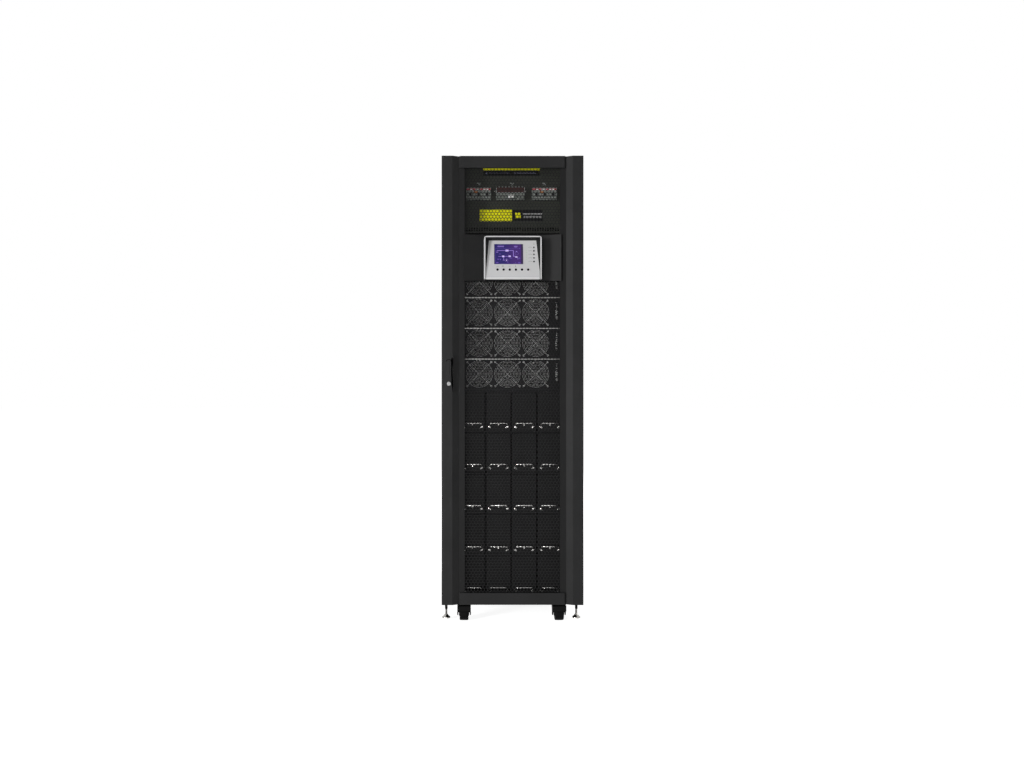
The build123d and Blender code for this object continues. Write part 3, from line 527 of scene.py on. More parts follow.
def honeycomb(name, node, window, body):
    """Sheet of six-sided holes, staggered row by row, inside a plain edge."""
    low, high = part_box(node)
    x0, x1, z0, z1 = window
    outer = (CELL_PITCH / math.sqrt(3), ROW_PITCH / 1.5)
    inner = (outer[0] - CELL_WEB / math.sqrt(3), outer[1] - CELL_WEB / math.sqrt(3))
    columns = int((x1 - x0) / CELL_PITCH) + 1
    rows = int((z1 - z0) / ROW_PITCH) + 1
    turns = [(math.sin(math.pi / 3 * i), math.cos(math.pi / 3 * i)) for i in range(6)]
    index = {}
    vertices = []

    def corner(x, z):
        """Number of the front vertex at a place; the back one follows it."""
        key = (round(x * CORNERS_PER_METRE), round(z * CORNERS_PER_METRE))
        if key not in index:
            index[key] = len(vertices)
            vertices.append((x, low.y, z))
            vertices.append((x, high.y, z))
        return index[key]

    faces = []
    sides = {}
    middle = (x0 + x1) / 2
    for row in range(rows):
        z = (z0 + z1) / 2 + (row - (rows - 1) / 2) * ROW_PITCH
        for column in range(columns + row % 2):
            x = middle + (column - (columns - 1 + row % 2) / 2) * CELL_PITCH
            rim = [corner(x + outer[0] * s, z + outer[1] * c) for s, c in turns]
            hole = [corner(x + inner[0] * s, z + inner[1] * c) for s, c in turns]
            for i in range(6):
                j = (i + 1) % 6
                faces.append((rim[i], rim[j], hole[j], hole[i]))
                faces.append((hole[i] + 1, hole[j] + 1, rim[j] + 1, rim[i] + 1))
                faces.append((hole[i], hole[j], hole[j] + 1, hole[i] + 1))
                edge = tuple(sorted((rim[i], rim[j])))
                sides[edge] = sides.get(edge, 0) + 1
    for (start, end), uses in sides.items():
        if uses == 1:
            faces.append((start, end, end + 1, start + 1))
    sheet = add_piece(name, mesh_from(name, vertices, faces), MESH_COAT, body)
    edge_front, edge_back = low.y - EDGE_SKIN, high.y + EDGE_SKIN
    edge = [
        ((low.x, edge_front, low.z), (x0 + EDGE_LAP, edge_back, high.z)),
        ((x1 - EDGE_LAP, edge_front, low.z), (high.x, edge_back, high.z)),
        ((x0 + EDGE_LAP, edge_front, low.z), (x1 - EDGE_LAP, edge_back, z0 + EDGE_LAP)),
        ((x0 + EDGE_LAP, edge_front, z1 - EDGE_LAP), (x1 - EDGE_LAP, edge_back, high.z)),
    ]
    plates(name + "_edge", edge, MESH_COAT, body, 0.0)
    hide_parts(node)


def perforated_sheets():
    """Upper and lower door mesh and the rear mesh."""
    frame_low, frame_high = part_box("door_frame")
    plate_low, plate_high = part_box("display_plate")
    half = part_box("door_mesh_lower")[1].x - SHEET_LAP + EDGE_LAP
    rail = DOOR_RAIL - EDGE_LAP
    upper = (-half, half, plate_high.z, frame_high.z - rail)
    lower = (-half, half, frame_low.z + rail, plate_low.z)
    honeycomb("honeycomb_upper", "door_mesh_upper", upper, "front_door")
    honeycomb("honeycomb_lower", "door_mesh_lower", lower, "front_door")
    low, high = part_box("rear_mesh")
    rear = (low.x + REAR_LAP, high.x - REAR_LAP, low.z + REAR_LAP, high.z - REAR_LAP)
    honeycomb("honeycomb_rear", "rear_mesh", rear, "cabinet")


def plate_gap_shade():
    """Dark lines of painted shade over and under the display plate, and a painted shadow at its right."""
    low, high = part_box("display_plate")
    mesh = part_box("door_mesh_lower")
    half = mesh[1].x - SHEET_LAP + EDGE_LAP
    front = mesh[0].y - 0.6 * MM
    back = front + 0.3 * MM
    gap = 1.5 * MM
    levels = (low.z - 2 * MM, high.z + 2 * MM)
    shade_strips = [((-half, front, z - gap), (half, back, z + gap)) for z in levels]
    # Painted shadow that the plate's right edge casts on the stile
    shadow_low = (high.x + 0.3 * MM, low.y + 5 * MM, low.z)
    shade_strips.append((shadow_low, (high.x + 4.5 * MM, low.y + 5.5 * MM, high.z)))
    plates("plate_gap_shade", shade_strips, SHADE_BLACK, "front_door", 0.0)


# Console on the door, in millimetres from the panel's middle and its lower edge where no MM is given

PANEL_RECESS = 24
PANEL_RISE = 167
PANEL_TILT = math.atan2(PANEL_RECESS, PANEL_RISE)
PANEL_SHEET = 3 * MM
SCREEN_LEFT = -78.0
SCREEN_TOP = 153.0
SCREEN_PROUD = 1.2
LAMP_SIDE = 89.5
LAMP_LEVELS = [77.4 + 15.4 * i for i in range(5)]
BUTTON_LEVEL = 42.0
BUTTON_PITCH = 25.8
BEZEL_WALL = 7 * MM
HOOD_CORNER = 11 * MM
HOOD_SIDE_TRIM = 1.6 * MM
HOOD_TOP_TRIM = 2.2 * MM
HOOD_FOOT_TRIM = 2.4 * MM


def panel_place(point):
    """World place of a point on the tilted panel, from its middle, its lower edge and its face."""
    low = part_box("control_panel")[0]
    x, y, z = point
    sine, cosine = math.sin(PANEL_TILT), math.cos(PANEL_TILT)
    return x, low.y + z * sine + y * cosine, low.z + PANEL_SHEET * sine + z * cosine - y * sine


def on_panel(name, marks, material, face=0.0, thick=0.15):
    """Thin marks on the panel, each by its left, right, lower and upper edge in millimetres."""
    boxes = []
    for left, right, low, high in marks:
        corner_low = (left * MM, (-face - thick) * MM, low * MM)
        boxes.append((corner_low, (right * MM, (0.02 - face) * MM, high * MM)))
    return plates(name, boxes, material, "front_door", 0.00003, panel_place)


def on_screen(name, marks, material):
    """Lit marks, by their left, right, upper and lower edge from the screen's upper left corner."""
    placed = []
    for left, right, high, low in marks:
        placed.append((SCREEN_LEFT + left, SCREEN_LEFT + right, SCREEN_TOP - low, SCREEN_TOP - high))
    on_panel(name, placed, material, SCREEN_PROUD, 0.1)


def loop_marks(middle, height, radius, count=8, width=1.6):
    """Short marks round a circle."""
    marks = []
    for i in range(count):
        angle = 2 * math.pi * i / count
        x, y = middle + radius * math.cos(angle), height + radius * math.sin(angle)
        marks.append((x - width / 2, x + width / 2, y - width / 2, y + width / 2))
    return marks


def screen_marks():
    """Flow lines and symbols of the display, without words."""
    on_screen("screen_band", [(113.5, 121.3, 0.2, 86.8), (0.2, 2.2, 0.2, 86.8)], SCREEN_DARK)
    lines = [
        (10.5, 81, 26.8, 29.6), (79.6, 82.6, 28, 53), (80, 90, 52.0, 54.6), (17.6, 70, 52.9, 54.7),
        (38.6, 41.2, 56, 70), (36.5, 43, 68.5, 71.5), (14, 42, 7.5, 9.2), (14, 42, 10.4, 12.6),
        (82.7, 99.4, 8.4, 10.2), (85, 97, 11.6, 13.8), (91, 97, 30.5, 34.5), (8.5, 17, 33.4, 36.6),
        (97, 102, 59.5, 61.2), (97, 102, 63.5, 65.5),
    ]
    rounds = loop_marks(95, 41.6, 6.4) + loop_marks(52, 70.4, 6.2, 10)
    on_screen("screen_lines", lines + rounds, SCREEN_LINE)
    dim = [
        (4, 110, 18.6, 19.4), (5, 5.8, 22, 84), (20, 29, 42, 44.6), (12, 22, 64, 67.6),
        (25, 28.5, 64, 69.5), (64, 76, 59.5, 62.5), (104.5, 108.5, 58.5, 65), (8.4, 17.2, 78.4, 83.6),
        (99.5, 110, 78.4, 83.8), (106, 109.5, 17.2, 21), (20, 110, 85.2, 85.8), (88, 93, 79.5, 81),
        (54, 60, 79, 80.6),
    ]
    on_screen("screen_dim_marks", dim, SCREEN_DIM)
    bright = [
        (47.5, 60, 24.8, 31.8), (33.4, 42.6, 50.6, 56.6), (60.4, 69.8, 50.4, 56.2), (89, 98, 54.4, 58.2),
        (50.4, 53.8, 68.8, 72),
    ]
    on_screen("screen_bright_blocks", bright, SCREEN_BRIGHT)


def thin_hood():
    """Hood round the panel with a thin wall and rounded upper corners."""
    low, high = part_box("display_bezel")
    inner, inner_top = high.x - BEZEL_WALL, high.z - BEZEL_WALL
    half, top, foot = high.x - HOOD_SIDE_TRIM, high.z - HOOD_TOP_TRIM, low.z + HOOD_FOOT_TRIM
    turns = [math.pi / 2 * i / 6 for i in range(7)]
    left = [
        (-half + HOOD_CORNER * (1 - math.cos(a)), top - HOOD_CORNER * (1 - math.sin(a))) for a in turns
    ]
    right = [(-x, z) for x, z in reversed(left)]
    inside = [(inner, foot), (inner, inner_top), (-inner, inner_top), (-inner, foot)]
    outline = [(-half, foot)] + left + right + [(half, foot)] + inside
    solid = prism(outline, (low.y, high.y), "y")
    hood = shapes_piece("thin_hood", [solid], SILVER_PLASTIC, "front_door")
    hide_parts("display_bezel")


def console_marks():
    """Ink on the panel, its seam and its lower strip."""
    ink = []
    for level in LAMP_LEVELS:
        for i in range(3):
            left, middle = 67 + 5.2 * i, level + 1.3 * (i % 2)
            ink.append((left, left + 3.4, middle - 1.1, middle + 1.1))
    ink += [(87.6, 92.6, 151.5, 153.5), (88.8, 90.6, 155.2, 159.0)]
    ink += [(-69.5, -57, 56.4, 58.0), (-47.5, -36.5, 56.4, 58.0), (-43.4, -40.2, 54.6, 60.4)]
    ink += [(-17.5, -9.5, 56.4, 57.8), (10.6, 13.2, 53.6, 60.6), (-110, 110, 12.7, 13.3)]
    on_panel("panel_marks", ink, PANEL_INK)
    green = [(56 + 0.4 * (i % 2), 61.5, 86 + 7.4 * i, 88.4 + 7.4 * i) for i in range(6)]
    on_panel("panel_tint_marks", green, GREEN_INK)
    on_panel("panel_strip", [(-111.8, 111.8, 0.6, 11.2)], PALE_PLASTIC, 0.0, 0.3)


def console_rounds():
    """Round buttons with their rims, and the lamps."""
    lean = Matrix.Rotation(-PANEL_TILT, 4, "X")
    buttons = [((i - 2.5) * BUTTON_PITCH, BUTTON_LEVEL) for i in range(6)]
    lamps = [(LAMP_SIDE, level) for level in LAMP_LEVELS]
    cap = [(5.0, 0), (5.0, 1.6), (4.4, 2.1), (2.8, 1.9), (0.6, 1.8)]
    rim = [(6.6, 0), (6.6, 0.5), (6.1, 0.9), (5.35, 0.9), (5.2, 0.0)]
    lens = [(3.5, 0), (3.5, 0.6), (2.6, 1.1), (0.5, 1.4)]
    for name, spots, profile, material, slot, node in (
        ("round_buttons", buttons, cap, BLACK_PLASTIC, "black_plastic", "display_buttons"),
        ("button_rims", buttons, rim, PALE_PLASTIC, "grey_plastic", None),
        ("lamp_lenses", lamps, lens, LENS_DARK, "light_lens", "indicator_lights"),
    ):
        points, faces = turned(metres(profile), 28, (0, 0, 0))
        shapes = []
        for x, level in spots:
            place = Vector(panel_place((x * MM, 0, level * MM)))
            shapes.append(([tuple(place + (lean @ Vector(point))) for point in points], faces))
        piece = shapes_piece(name, shapes, material, "front_door")
        if node:
            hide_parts(node)


# Fans and modules

MODULE_WIDTH = 447 * MM
RACK_UNIT = 44.45 * MM
MODULE_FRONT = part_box("power_module_1")[0].y
JOINTS = frame["record"]["behaviour"]["joints"]
FAN_PLACES = [joint["pos_m"] for joint in JOINTS if joint["name"].startswith("fan_spin")]
GUARD_RADII = [8 + 6.2 * i for i in range(8)] + [57.4]
GUARD_REACH = 52.5 * MM
# Small tags on the guards of the left, middle and right fan, from the fan's middle
GUARD_TAGS = [[(-10.5, 57), (4, 57)], [], [(-10.5, 49)]]


def fan_guards():
    """Fine wire guards with their screws and tags."""
    front = MODULE_FRONT
    reach = GUARD_REACH
    wires, screws, tags = [], [], []
    for index, (x, _, z) in enumerate(FAN_PLACES):
        for radius in GUARD_RADII:
            wires.append(ring(radius * MM, 0.75 * MM, (x, front - 3.1 * MM, z)))
        for side in (-1, 1):
            arm = front - 1.2 * MM
            path = [(x - reach, arm, z - side * reach), (x + reach, arm, z + side * reach)]
            wires.append(tube(path, 1.1 * MM))
            for end in (-1, 1):
                spot = (x + end * reach, front, z + end * side * reach)
                wires.append(ring(3.6 * MM, 0.8 * MM, (spot[0], front - 0.9 * MM, spot[2]), 16))
                screws.append(spot)
        for shift, rise in GUARD_TAGS[index % 3]:
            tag = front_box(x + shift * MM, z + rise * MM, 4 * MM, 5 * MM, front - 4.4 * MM, 0.6 * MM)
            tags.append(tag)
    guard = shapes_piece("guard_wires", wires, GUARD_WIRE, "cabinet")
    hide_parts("fan_guards")
    screw_heads("guard_screws", screws, 2.8 * MM, "cabinet", GUARD_WIRE)
    plates("guard_tags", tags, WHITE_INK, "cabinet", 0.0002)


def power_module_marks():
    """Small upright marks on the strip at the right of each power module."""
    strip = 197 * MM
    face = MODULE_FRONT - 0.2 * MM
    thick = 0.25 * MM
    marks, labels = [], []
    for row in range(4):
        z = FAN_PLACES[3 * row][2]
        for i, (width, height) in enumerate(((9, 2), (3, 7), (7, 2), (3, 5), (9, 2), (7, 2))):
            marks.append(front_box(strip, z + (44 - 9.5 * i) * MM, width * MM, height * MM, face, thick))
        for i in range(3):
            labels.append(front_box(strip, z - (18 + 5 * i) * MM, 8 * MM, 1.6 * MM, face, thick))
    plates("module_marks", marks, MODULE_INK, "cabinet", 0.00003)
    plates("module_mark_lines", labels, MODULE_INK, "cabinet", 0.00003)


def battery_details():
    """Bent wire handles on their feet, with screws and a catch under each."""
    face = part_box("battery_modules")[0].y
    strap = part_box("battery_handles")[0]
    depth = strap.y + 2.6 * MM - face
    rise = 15 * MM
    bend = [(40, 0), (38.4, 0.45), (36.2, 0.8), (34.4, 0.94), (31.5, 1)]
    boss = metres([(4.6, 0), (4.6, 2.4), (3.8, 3.4), (1.2, 3.8)])
    handles, feet, catches, screws = [], [], [], []
    for row in range(5):
        foot = strap.z + 4 * MM + row * 4 * RACK_UNIT
        bar = foot + rise
        for column in range(4):
            x = (column - 1.5) * MODULE_WIDTH / 4
            left = [(x - a * MM, face + depth * b, foot + rise * b) for a, b in bend]
            right = [(2 * x - spot[0], spot[1], spot[2]) for spot in reversed(left)]
            handles.append(tube(left + right, 2.7 * MM, 10))
            for side in (-1, 1):
                feet.append(turned(boss, 16, (x + side * 40 * MM, face, foot)))
                screws.append((x + side * 35 * MM, face, bar - 19.5 * MM))
            catches.append(front_box(x, bar - 8.5 * MM, 4 * MM, 7 * MM, face - 2 * MM, 2.1 * MM))
    bars = shapes_piece("wire_handles", handles, BRIGHT_STEEL, "cabinet")
    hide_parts("battery_handles")
    shapes_piece("handle_bosses", feet, BRIGHT_STEEL, "cabinet")
    plates("battery_catches", catches, BRIGHT_STEEL, "cabinet", 0.0004)
    screw_heads("battery_screws", screws, 3.4 * MM, "cabinet")


def inner_sheets():
    """Dark sheets that close the slits between the battery columns and over the top row."""
    low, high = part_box("battery_modules")
    depth, sheet, lap = low.y + 60 * MM, 1 * MM, 0.5 * MM
    middle, height = (low.z + high.z) / 2, high.z - low.z
    sheets = [front_box(i * MODULE_WIDTH / 4, middle, 7 * MM, height, depth, sheet) for i in (-1, 0, 1)]
    power_floor = min(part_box(f"power_module_{i}")[0].z for i in (1, 2, 3, 4))
    sheets.append(((low.x, depth, high.z - lap), (high.x, depth + sheet, power_floor + lap)))
    plates("inner_sheets", sheets, CASE_PAINT, "cabinet", 0.0)


# Switch panel, whose face lies behind its ledge

LEDGE_PROUD = 4 * MM
SWITCH_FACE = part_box("switch_panel")[0].y + LEDGE_PROUD
TOGGLE_PROUD = 5 * MM
BREAKER_SHOULDER = 9 * MM
BREAKER_WIDTH = 107
BREAKER_SIDE = 142.25
BREAKER_MIDDLE = -5.0
BREAKER_SCREW_HEIGHT = 1.8563
SLOT_COUNT = 38
SLOT_PITCH = 11
SLOT_MIDDLE = 16.5


def switch_labels():
    """Bare yellow and black plates with plain bars, the vent slots as painted shade, and marks over the
    breakers.
    """
    film = SWITCH_FACE - 0.3 * MM

    def rows(name, boxes, material, lift=0.0):
        """One piece of thin plates, each by its middle and size in millimetres."""
        y = film - lift * MM
        plain = [front_box(x * MM, z * MM, w * MM, h * MM, y, 0.35 * MM) for x, z, w, h in boxes]
        plates(name, plain, material, "cabinet", 0.00005)

    rows("yellow_plates", [(0.5, 1950.5, 244, 10.5), (-67, 1751.5, 140, 52)], YELLOW_FILM)
    rows("black_plates", [(0.5, 1933.5, 244, 20), (70.5, 1750.5, 131, 49)], BLACK_FILM)
    lines = []
    step = 7
    for start, end in ((-93, 0), (27, 117)):
        for i in range(int((end - start) / step)):
            lines.append((start + step * i, 1935.2 - 1.2 * (i % 2), 5, 3.2))
    rows("strip_bars", lines + [(-107.5, 1934.3, 6, 6), (15.5, 1934.3, 6, 6)], PALE_INK, 0.2)
    bars = [(92, 1757.6, 83, 3.0), (92, 1747, 76, 1.8), (92, 1741.6, 76, 1.8)]
    rows("plate_bars", bars, MODULE_INK, 0.2)
    rows("plate_patch", [(29, 1751, 24, 24)], YELLOW_FILM, 0.2)
    marks = []
    for x in (-141, 3, 142.5):
        marks += [(x - 5, 1891, 6, 2), (x + 4, 1891, 7, 2), (x, 1886.6, 3, 5)]
        marks += [(x + 5, 1884, 6, 1.8), (x - 4, 1882.6, 4, 1.8)]
    rows("breaker_marks", marks + [(-1, 1874.5, 86, 1.4)], DIM_INK)
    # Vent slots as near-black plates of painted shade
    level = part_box("switch_panel")[0].z / MM + SLOT_MIDDLE
    slots = [((i - (SLOT_COUNT - 1) / 2) * SLOT_PITCH, level, 6.4, 15) for i in range(SLOT_COUNT)]
    rows("slot_shade", slots, SHADE_BLACK)


def breaker_faces():
    """Coloured bands, toggles and small windows of the breakers."""
    low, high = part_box("breakers")
    front = low.y + TOGGLE_PROUD
    face = front + BREAKER_SHOULDER

    def mark(x, drop, width, height, y, lift=0.3, thick=0.35):
        """Thin plate on a face by its middle from the breakers' top, in millimetres."""
        return front_box(x * MM, high.z - drop * MM, width * MM, height * MM, y - lift * MM, thick * MM)

    red, white, orange, dots, toggles = [], [], [], [], []
    for x in (-BREAKER_SIDE, BREAKER_SIDE):
        red.append(mark(x, 9.2, 104, 9.4, face))
        for shift, width, height in ((-30, 12, 7), (-4, 20, 9), (2, 14, 5), (24, 12, 7), (38, 8, 8)):
            white.append(mark(x + shift, 9.8, width, height, face, 0.5, 0.3))
        orange.append(mark(x - 12, 21.5, 18, 7, front))
        for i in (-1, 0, 1):
            spot = (x + i * BREAKER_WIDTH / 3) * MM
            toggle = front_box(spot, low.z + 20 * MM, 12.4 * MM, 12.4 * MM, low.y - 0.3 * MM, 3.4 * MM)
            toggles.append(toggle)
        for row, (drop, y) in enumerate(((17, front), (33, front), (44, face))):
            for i in range(9):
                width, height = (5, 2.6) if (i + row) % 3 else (3, 3.6)
                shift = (i - 4) * 11.4 + 3 * (row % 2)
                dots.append(mark(x + shift, drop - i % 2, width, height, y))
    white.append(mark(BREAKER_MIDDLE - 4, 40, 12, 13, front, 0.4, 0.45))
    white.append(mark(BREAKER_MIDDLE + 9, 39, 11, 12, front, 0.4, 0.45))
    white.append(mark(BREAKER_MIDDLE + 34, 48.5, 5, 4, face, 0.4, 0.45))
    for i in range(8):
        shift = (i - 3.5) * 14
        if abs(shift - 2) > 12:
            dots.append(mark(BREAKER_MIDDLE + shift, 36, 5, 3, front))
    plates("breaker_red_bands", red, RED_INK, "cabinet", 0.00005)
    plates("breaker_white_windows", white, WHITE_INK, "cabinet", 0.0001)
    plates("breaker_orange_marks", orange, ORANGE_INK, "cabinet", 0.00005)
    plates("breaker_dots", dots, DIM_INK, "cabinet", 0.00005)
    plates("breaker_toggles", toggles, BLACK_PLASTIC, "cabinet", 0.0012)


def breaker_cover():
    """Rim of the middle breaker's cover and the screws beside it."""
    low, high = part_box("breaker_guard")
    half = 0.8 * MM
    front, back = low.y - 0.6 * MM, low.y + 0.1 * MM
    rim = [((low.x, front, z - half), (high.x, back, z + half)) for z in (low.z + half, high.z - half)]
    rim += [((x - half, front, low.z), (x + half, back, high.z)) for x in (low.x + half, high.x - half)]
    plates("guard_rim", rim, DIM_INK, "cabinet", 0.0001)
    ears = [(x, SWITCH_FACE, BREAKER_SCREW_HEIGHT) for x in (low.x - 5 * MM, high.x + 5 * MM)]
    screw_heads("breaker_screws", ears, 3.2 * MM, "cabinet")


# Handle, casters and feet

FORK_HALF = 29
FOOT_HALF = 18 * MM
ROD_TOP = 62
THREAD_PITCH = 1.8
HOLE_SIZE = 9.5 * MM
HOLE_SIDE = 242 * MM


def handle_details():
    """Painted shade along the recess over the lever and the lever's painted shadow on the plate to its
    right, the lever's ridge, and the lock's painted shadow ring, its barrel and its key slot filled with
    painted shade.
    """
    lever_low, lever_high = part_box("door_handle")
    x = (lever_low.x + lever_high.x) / 2
    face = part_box("handle_plate")[0].y
    flush = (face - 0.25 * MM, face + 0.2 * MM)
    turns = [math.pi * (0.1 + 0.8 * i / 8) for i in range(9)]
    recess_shade_arc = [(13.6 * math.cos(a), 13.4 * math.sin(a) - 10.4) for a in turns]
    recess_shade_arc += [(9.2 * math.cos(a), 9.4 * math.sin(a) - 9.5) for a in reversed(turns)]
    shadow_outline = [
        (9.6, 3), (13.6, 11), (17.6, 5), (17.8, -13), (15.8, -31), (15.8, -61), (17.8, -81),
        (17.8, -127), (16.6, -138), (13.6, -119), (10.6, -89), (9.6, -61),
    ]
    # Dark outlines of painted shade: the recess over the lever and the lever's cast shadow to its right
    for name, outline in (("lever_recess_shade", recess_shade_arc), ("lever_shadow", shadow_outline)):
        solid = prism(metres(outline, x, lever_high.z), flush, "y")
        shapes_piece(name, [solid], SHADE_BLACK, "front_door", False)
    ridge_low = (x - 3 * MM, lever_low.y - 1.0 * MM, lever_low.z + 6 * MM)
    ridge = [(ridge_low, (x + 3 * MM, lever_low.y + 0.2 * MM, lever_high.z - 9 * MM))]
    plates("lever_ridge", ridge, HANDLE_PLASTIC, "door_lever", 0.0009)
    lock_low, lock_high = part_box("lock_cylinder")
    z = (lock_low.z + lock_high.z) / 2
    # Dark ring of painted shadow round the lock
    rim = metres([(11.4, 0), (11.4, 1.2), (10.6, 2.0), (9.3, 2.0), (9.1, 0.0)])
    shapes_piece("lock_shadow_ring", [turned(rim, 32, (x, face, z))], SHADE_DARK, "front_door")
    barrel = metres([(8.5, 0), (8.5, 2.4), (7.9, 3.0), (3.0, 3.0), (2.8, 2.0), (0.4, 2.0)])
    solid = turned(barrel, 32, (x, face, z))
    piece = shapes_piece("lock_barrel", [solid], LOCK_STEEL, "front_door")
    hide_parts("lock_cylinder")
    # Key slot as a dark plate of painted shade
    slot = [front_box(x, z, 1.4 * MM, 8 * MM, face - 3.06 * MM, 0.3 * MM)]
    plates("key_slot", slot, SHADE_DARK, "front_door", 0.0)


def fork_shapes(middle, disc_top):
    """Pressed fork: swivel disc, hood over the wheel, and two legs flanged at the front."""
    x, y, z = middle
    disc = [(8.0, -7.0), (29.0, -7.0), (29.0, -1.5), (27.5, 0.0), (8.0, 0.0)]
    hood = [
        (-28, 14.5), (-26.4, 14.5), (-26.4, 30.6), (12, 30.6), (12, 36.0), (-12, 36.0), (-14, 38.4),
        (-26, 38.4), (-28, 36.4),
    ]
    leg = [
        (-14, 38.7), (-12, 11), (-8.5, -2), (-4.5, -7), (0, -8.2), (4.5, -7), (8.5, -2), (14, 13),
        (34, 38.7),
    ]
    flange = [(19.8, 38.7), (29, 38.7), (29, 8.6), (27.8, 7.2), (21.0, 7.2), (19.8, 8.6)]
    half = FORK_HALF * MM
    shapes = [
        turned(metres(disc), 40, (x, y + 16 * MM, disc_top), "z"),
        prism(metres(hood, y, z), (x - half, x + half), "x"),
    ]
    for side in (-1, 1):
        inner, outer = x + side * (FORK_HALF - 4) * MM, x + side * half
        shapes.append(prism(metres(leg, y, z), (inner, outer), "x"))
        edge = metres([(side * a, b) for a, b in flange], x, z)
        shapes.append(prism(edge, (y - 16 * MM, y - 13.4 * MM), "y"))
    return shapes


def caster_details():
    """Round wheels with hub caps, their forks, and the bolt heads of the axles."""
    bolt = [(5.0, 0), (5.0, 0.6), (4.2, 1.0), (1.0, 1.0)]
    left_half = [
        (5.4, -22), (9.5, -22), (11.0, -20.5), (11.0, -19), (21, -18), (25.6, -19), (27.6, -17.6),
        (28.8, -14.5), (29.0, -8),
    ]
    tread = metres(left_half + [(radius, -side) for radius, side in reversed(left_half)])
    for place in ("front_left", "front_right", "rear_left", "rear_right"):
        low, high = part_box("caster_wheel_" + place)
        middle = (low + high) / 2
        shape = turned(tread, 48, tuple(middle), "x")
        wheel = shapes_piece("wheel_tread_" + place, [shape], TREAD, "wheel_" + place)
        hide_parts("caster_wheel_" + place)
        shapes = fork_shapes(middle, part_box("caster_fork_" + place)[1].z)
        body = "caster_" + place
        fork = shapes_piece("pressed_fork_" + place, shapes, CASTER_PAINT, body)
        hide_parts("caster_fork_" + place)
        heads = []
        for side in (-1, 1):
            profile = metres([(radius, side * (FORK_HALF + height)) for radius, height in bolt])
            heads.append(turned(profile, 6, tuple(middle), "x"))
        shapes_piece("axle_bolts_" + place, heads, CASTER_PAINT, body, False)


def foot_details():
    """Flared feet on threaded rods, with a black sleeve under the frame."""
    low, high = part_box("levelling_feet")
    foot = [(17.0, 0), (18.0, 1.2), (18.0, 4.4), (16.8, 6.2), (12.6, 9.0), (9.4, 12.4)]
    foot += [(8.0, 15.6), (5.0, 16.2)]
    level = 17.0
    while level < ROD_TOP:
        foot += [(4.4, level), (5.0, level + THREAD_PITCH / 2)]
        level += THREAD_PITCH
    foot.append((4.5, 78))
    sleeve = [(5.1, 39), (5.8, 39.6), (5.8, 64), (6.4, 64.4), (6.4, 78.8)]
    rods, sleeves = [], []
    for x in (low.x + FOOT_HALF, high.x - FOOT_HALF):
        for y in (low.y + FOOT_HALF, high.y - FOOT_HALF):
            rods.append(turned(metres(foot), 24, (x, y, low.z), "z"))
            sleeves.append(turned(metres(sleeve), 16, (x, y, low.z), "z"))
    piece = shapes_piece("threaded_feet", rods, FOOT_STEEL, "cabinet")
    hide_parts("levelling_feet")
    shapes_piece("foot_sleeves", sleeves, CASTER_PAINT, "cabinet")


def rail_holes():
    """Square mounting holes of the front rails, three to a rack unit, drawn as dark plates of painted
    shade.
    """
    low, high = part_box("rack_rails")
    holes = []
    level = 110 * MM
    while level < high.z - 30 * MM:
        for x in (-HOLE_SIDE, HOLE_SIDE):
            holes.append(front_box(x, level, HOLE_SIZE, HOLE_SIZE, low.y - 0.06 * MM, 0.1 * MM))
        level += RACK_UNIT / 3
    plates("rail_holes", holes, SHADE_DARK, "cabinet", 0.0)


# Stage

WORLD_LEVEL = 0.12
FLOOR_LIFT = 0.9


def area_light(name, place, target, size, power):
    """Soft lamp aimed at a point."""
    data = bpy.data.lights.new(name, "AREA")
    data.shape = "RECTANGLE"
    data.size, data.size_y = size
    data.energy = power
    lamp = bpy.data.objects.new(name, data)
    lamp.location = place
    lamp.rotation_euler = (Vector(target) - Vector(place)).to_track_quat("-Z", "Y").to_euler()
    bpy.context.scene.collection.objects.link(lamp)


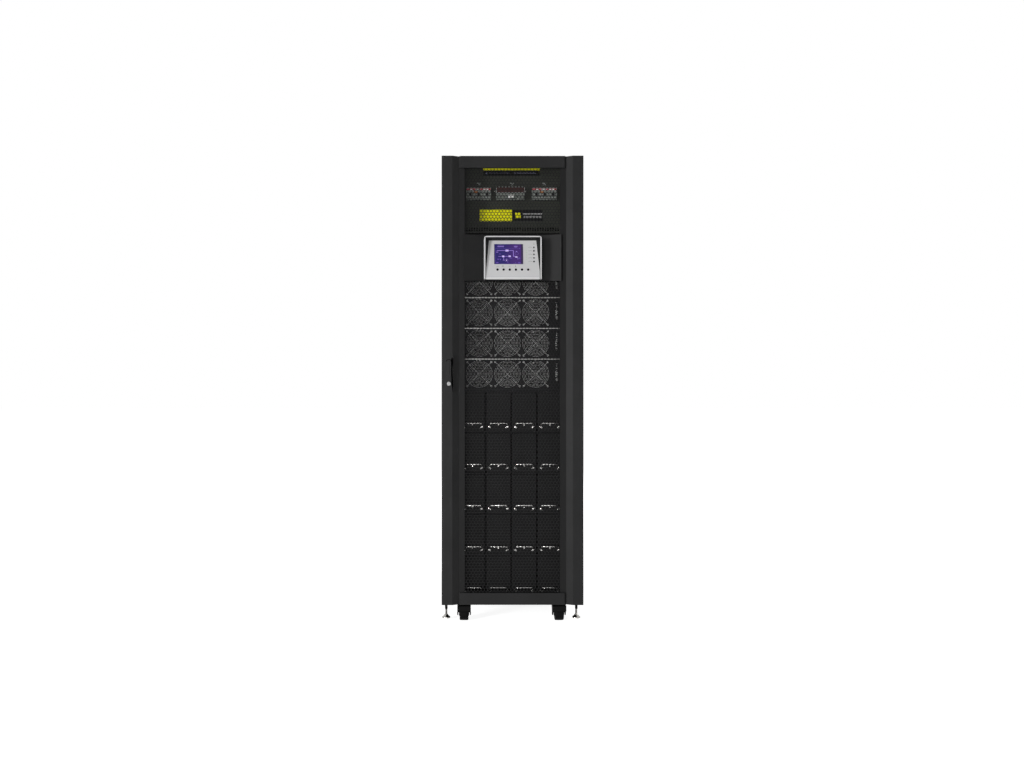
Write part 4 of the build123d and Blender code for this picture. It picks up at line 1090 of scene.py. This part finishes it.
def seen_directly(tree):
    """One for the camera's own rays, reflections and glass, and nought for all other light."""
    path = tree.nodes.new("ShaderNodeLightPath")
    value = path.outputs["Is Camera Ray"]
    for ray in ("Is Glossy Ray", "Is Transmission Ray"):
        either = tree.nodes.new("ShaderNodeMath")
        either.operation = "MAXIMUM"
        tree.links.new(value, either.inputs[0])
        tree.links.new(path.outputs[ray], either.inputs[1])
        value = either.outputs[0]
    return value


def range_of(tree, value, low, high):
    """Number between two limits by a switch of nought or one."""
    level = tree.nodes.new("ShaderNodeMapRange")
    level.inputs["To Min"].default_value = low
    level.inputs["To Max"].default_value = high
    tree.links.new(value, level.inputs["Value"])
    return level.outputs["Result"]


def add_world():
    """Even pale surroundings, white where they are seen."""
    world = bpy.data.worlds.new("world")
    bpy.context.scene.world = world
    world.use_nodes = True
    tree = world.node_tree
    background = tree.nodes["Background"]
    background.inputs["Color"].default_value = (1, 1, 1, 1)
    tree.links.new(range_of(tree, seen_directly(tree), WORLD_LEVEL, 1.0), background.inputs["Strength"])


def add_floor():
    """White floor that keeps the cabinet's shadow."""
    mesh = mesh_from("floor", [(-30, -30, 0), (30, -30, 0), (30, 30, 0), (-30, 30, 0)], [(0, 1, 2, 3)])
    material, tree, shader = new_material("floor")
    shader.inputs["Base Color"].default_value = (0.9, 0.9, 0.9, 1)
    shader.inputs["Roughness"].default_value = 0.9
    shader.inputs["Specular IOR Level"].default_value = 0.0
    shader.inputs["Emission Color"].default_value = (1, 1, 1, 1)
    tree.links.new(range_of(tree, seen_directly(tree), 0.0, FLOOR_LIFT), shader.inputs["Emission Strength"])
    mesh.materials.append(material)
    floor = bpy.data.objects.new("floor", mesh)
    bpy.context.scene.collection.objects.link(floor)


def add_stage():
    """Floor, world and lamps."""
    add_world()
    add_floor()
    area_light("key", (-7.2, -6.4, 1.9), (0, 0, 1.0), (1.8, 3.0), 600)
    area_light("low front", (-1.6, -7.0, 0.2), (0, 0, 1.4), (2.4, 0.3), 130)
    area_light("rear", (1.8, 4.2, 3.0), (0, 0, 1.0), (2.5, 2.5), 80)


add_camera()
dress_nodes()
perforated_sheets()
plate_gap_shade()
screen_marks()
thin_hood()
console_marks()
console_rounds()
fan_guards()
power_module_marks()
battery_details()
inner_sheets()
switch_labels()
breaker_faces()
breaker_cover()
handle_details()
caster_details()
foot_details()
rail_holes()
add_stage()
bpy.context.scene.view_settings.view_transform = "Standard"
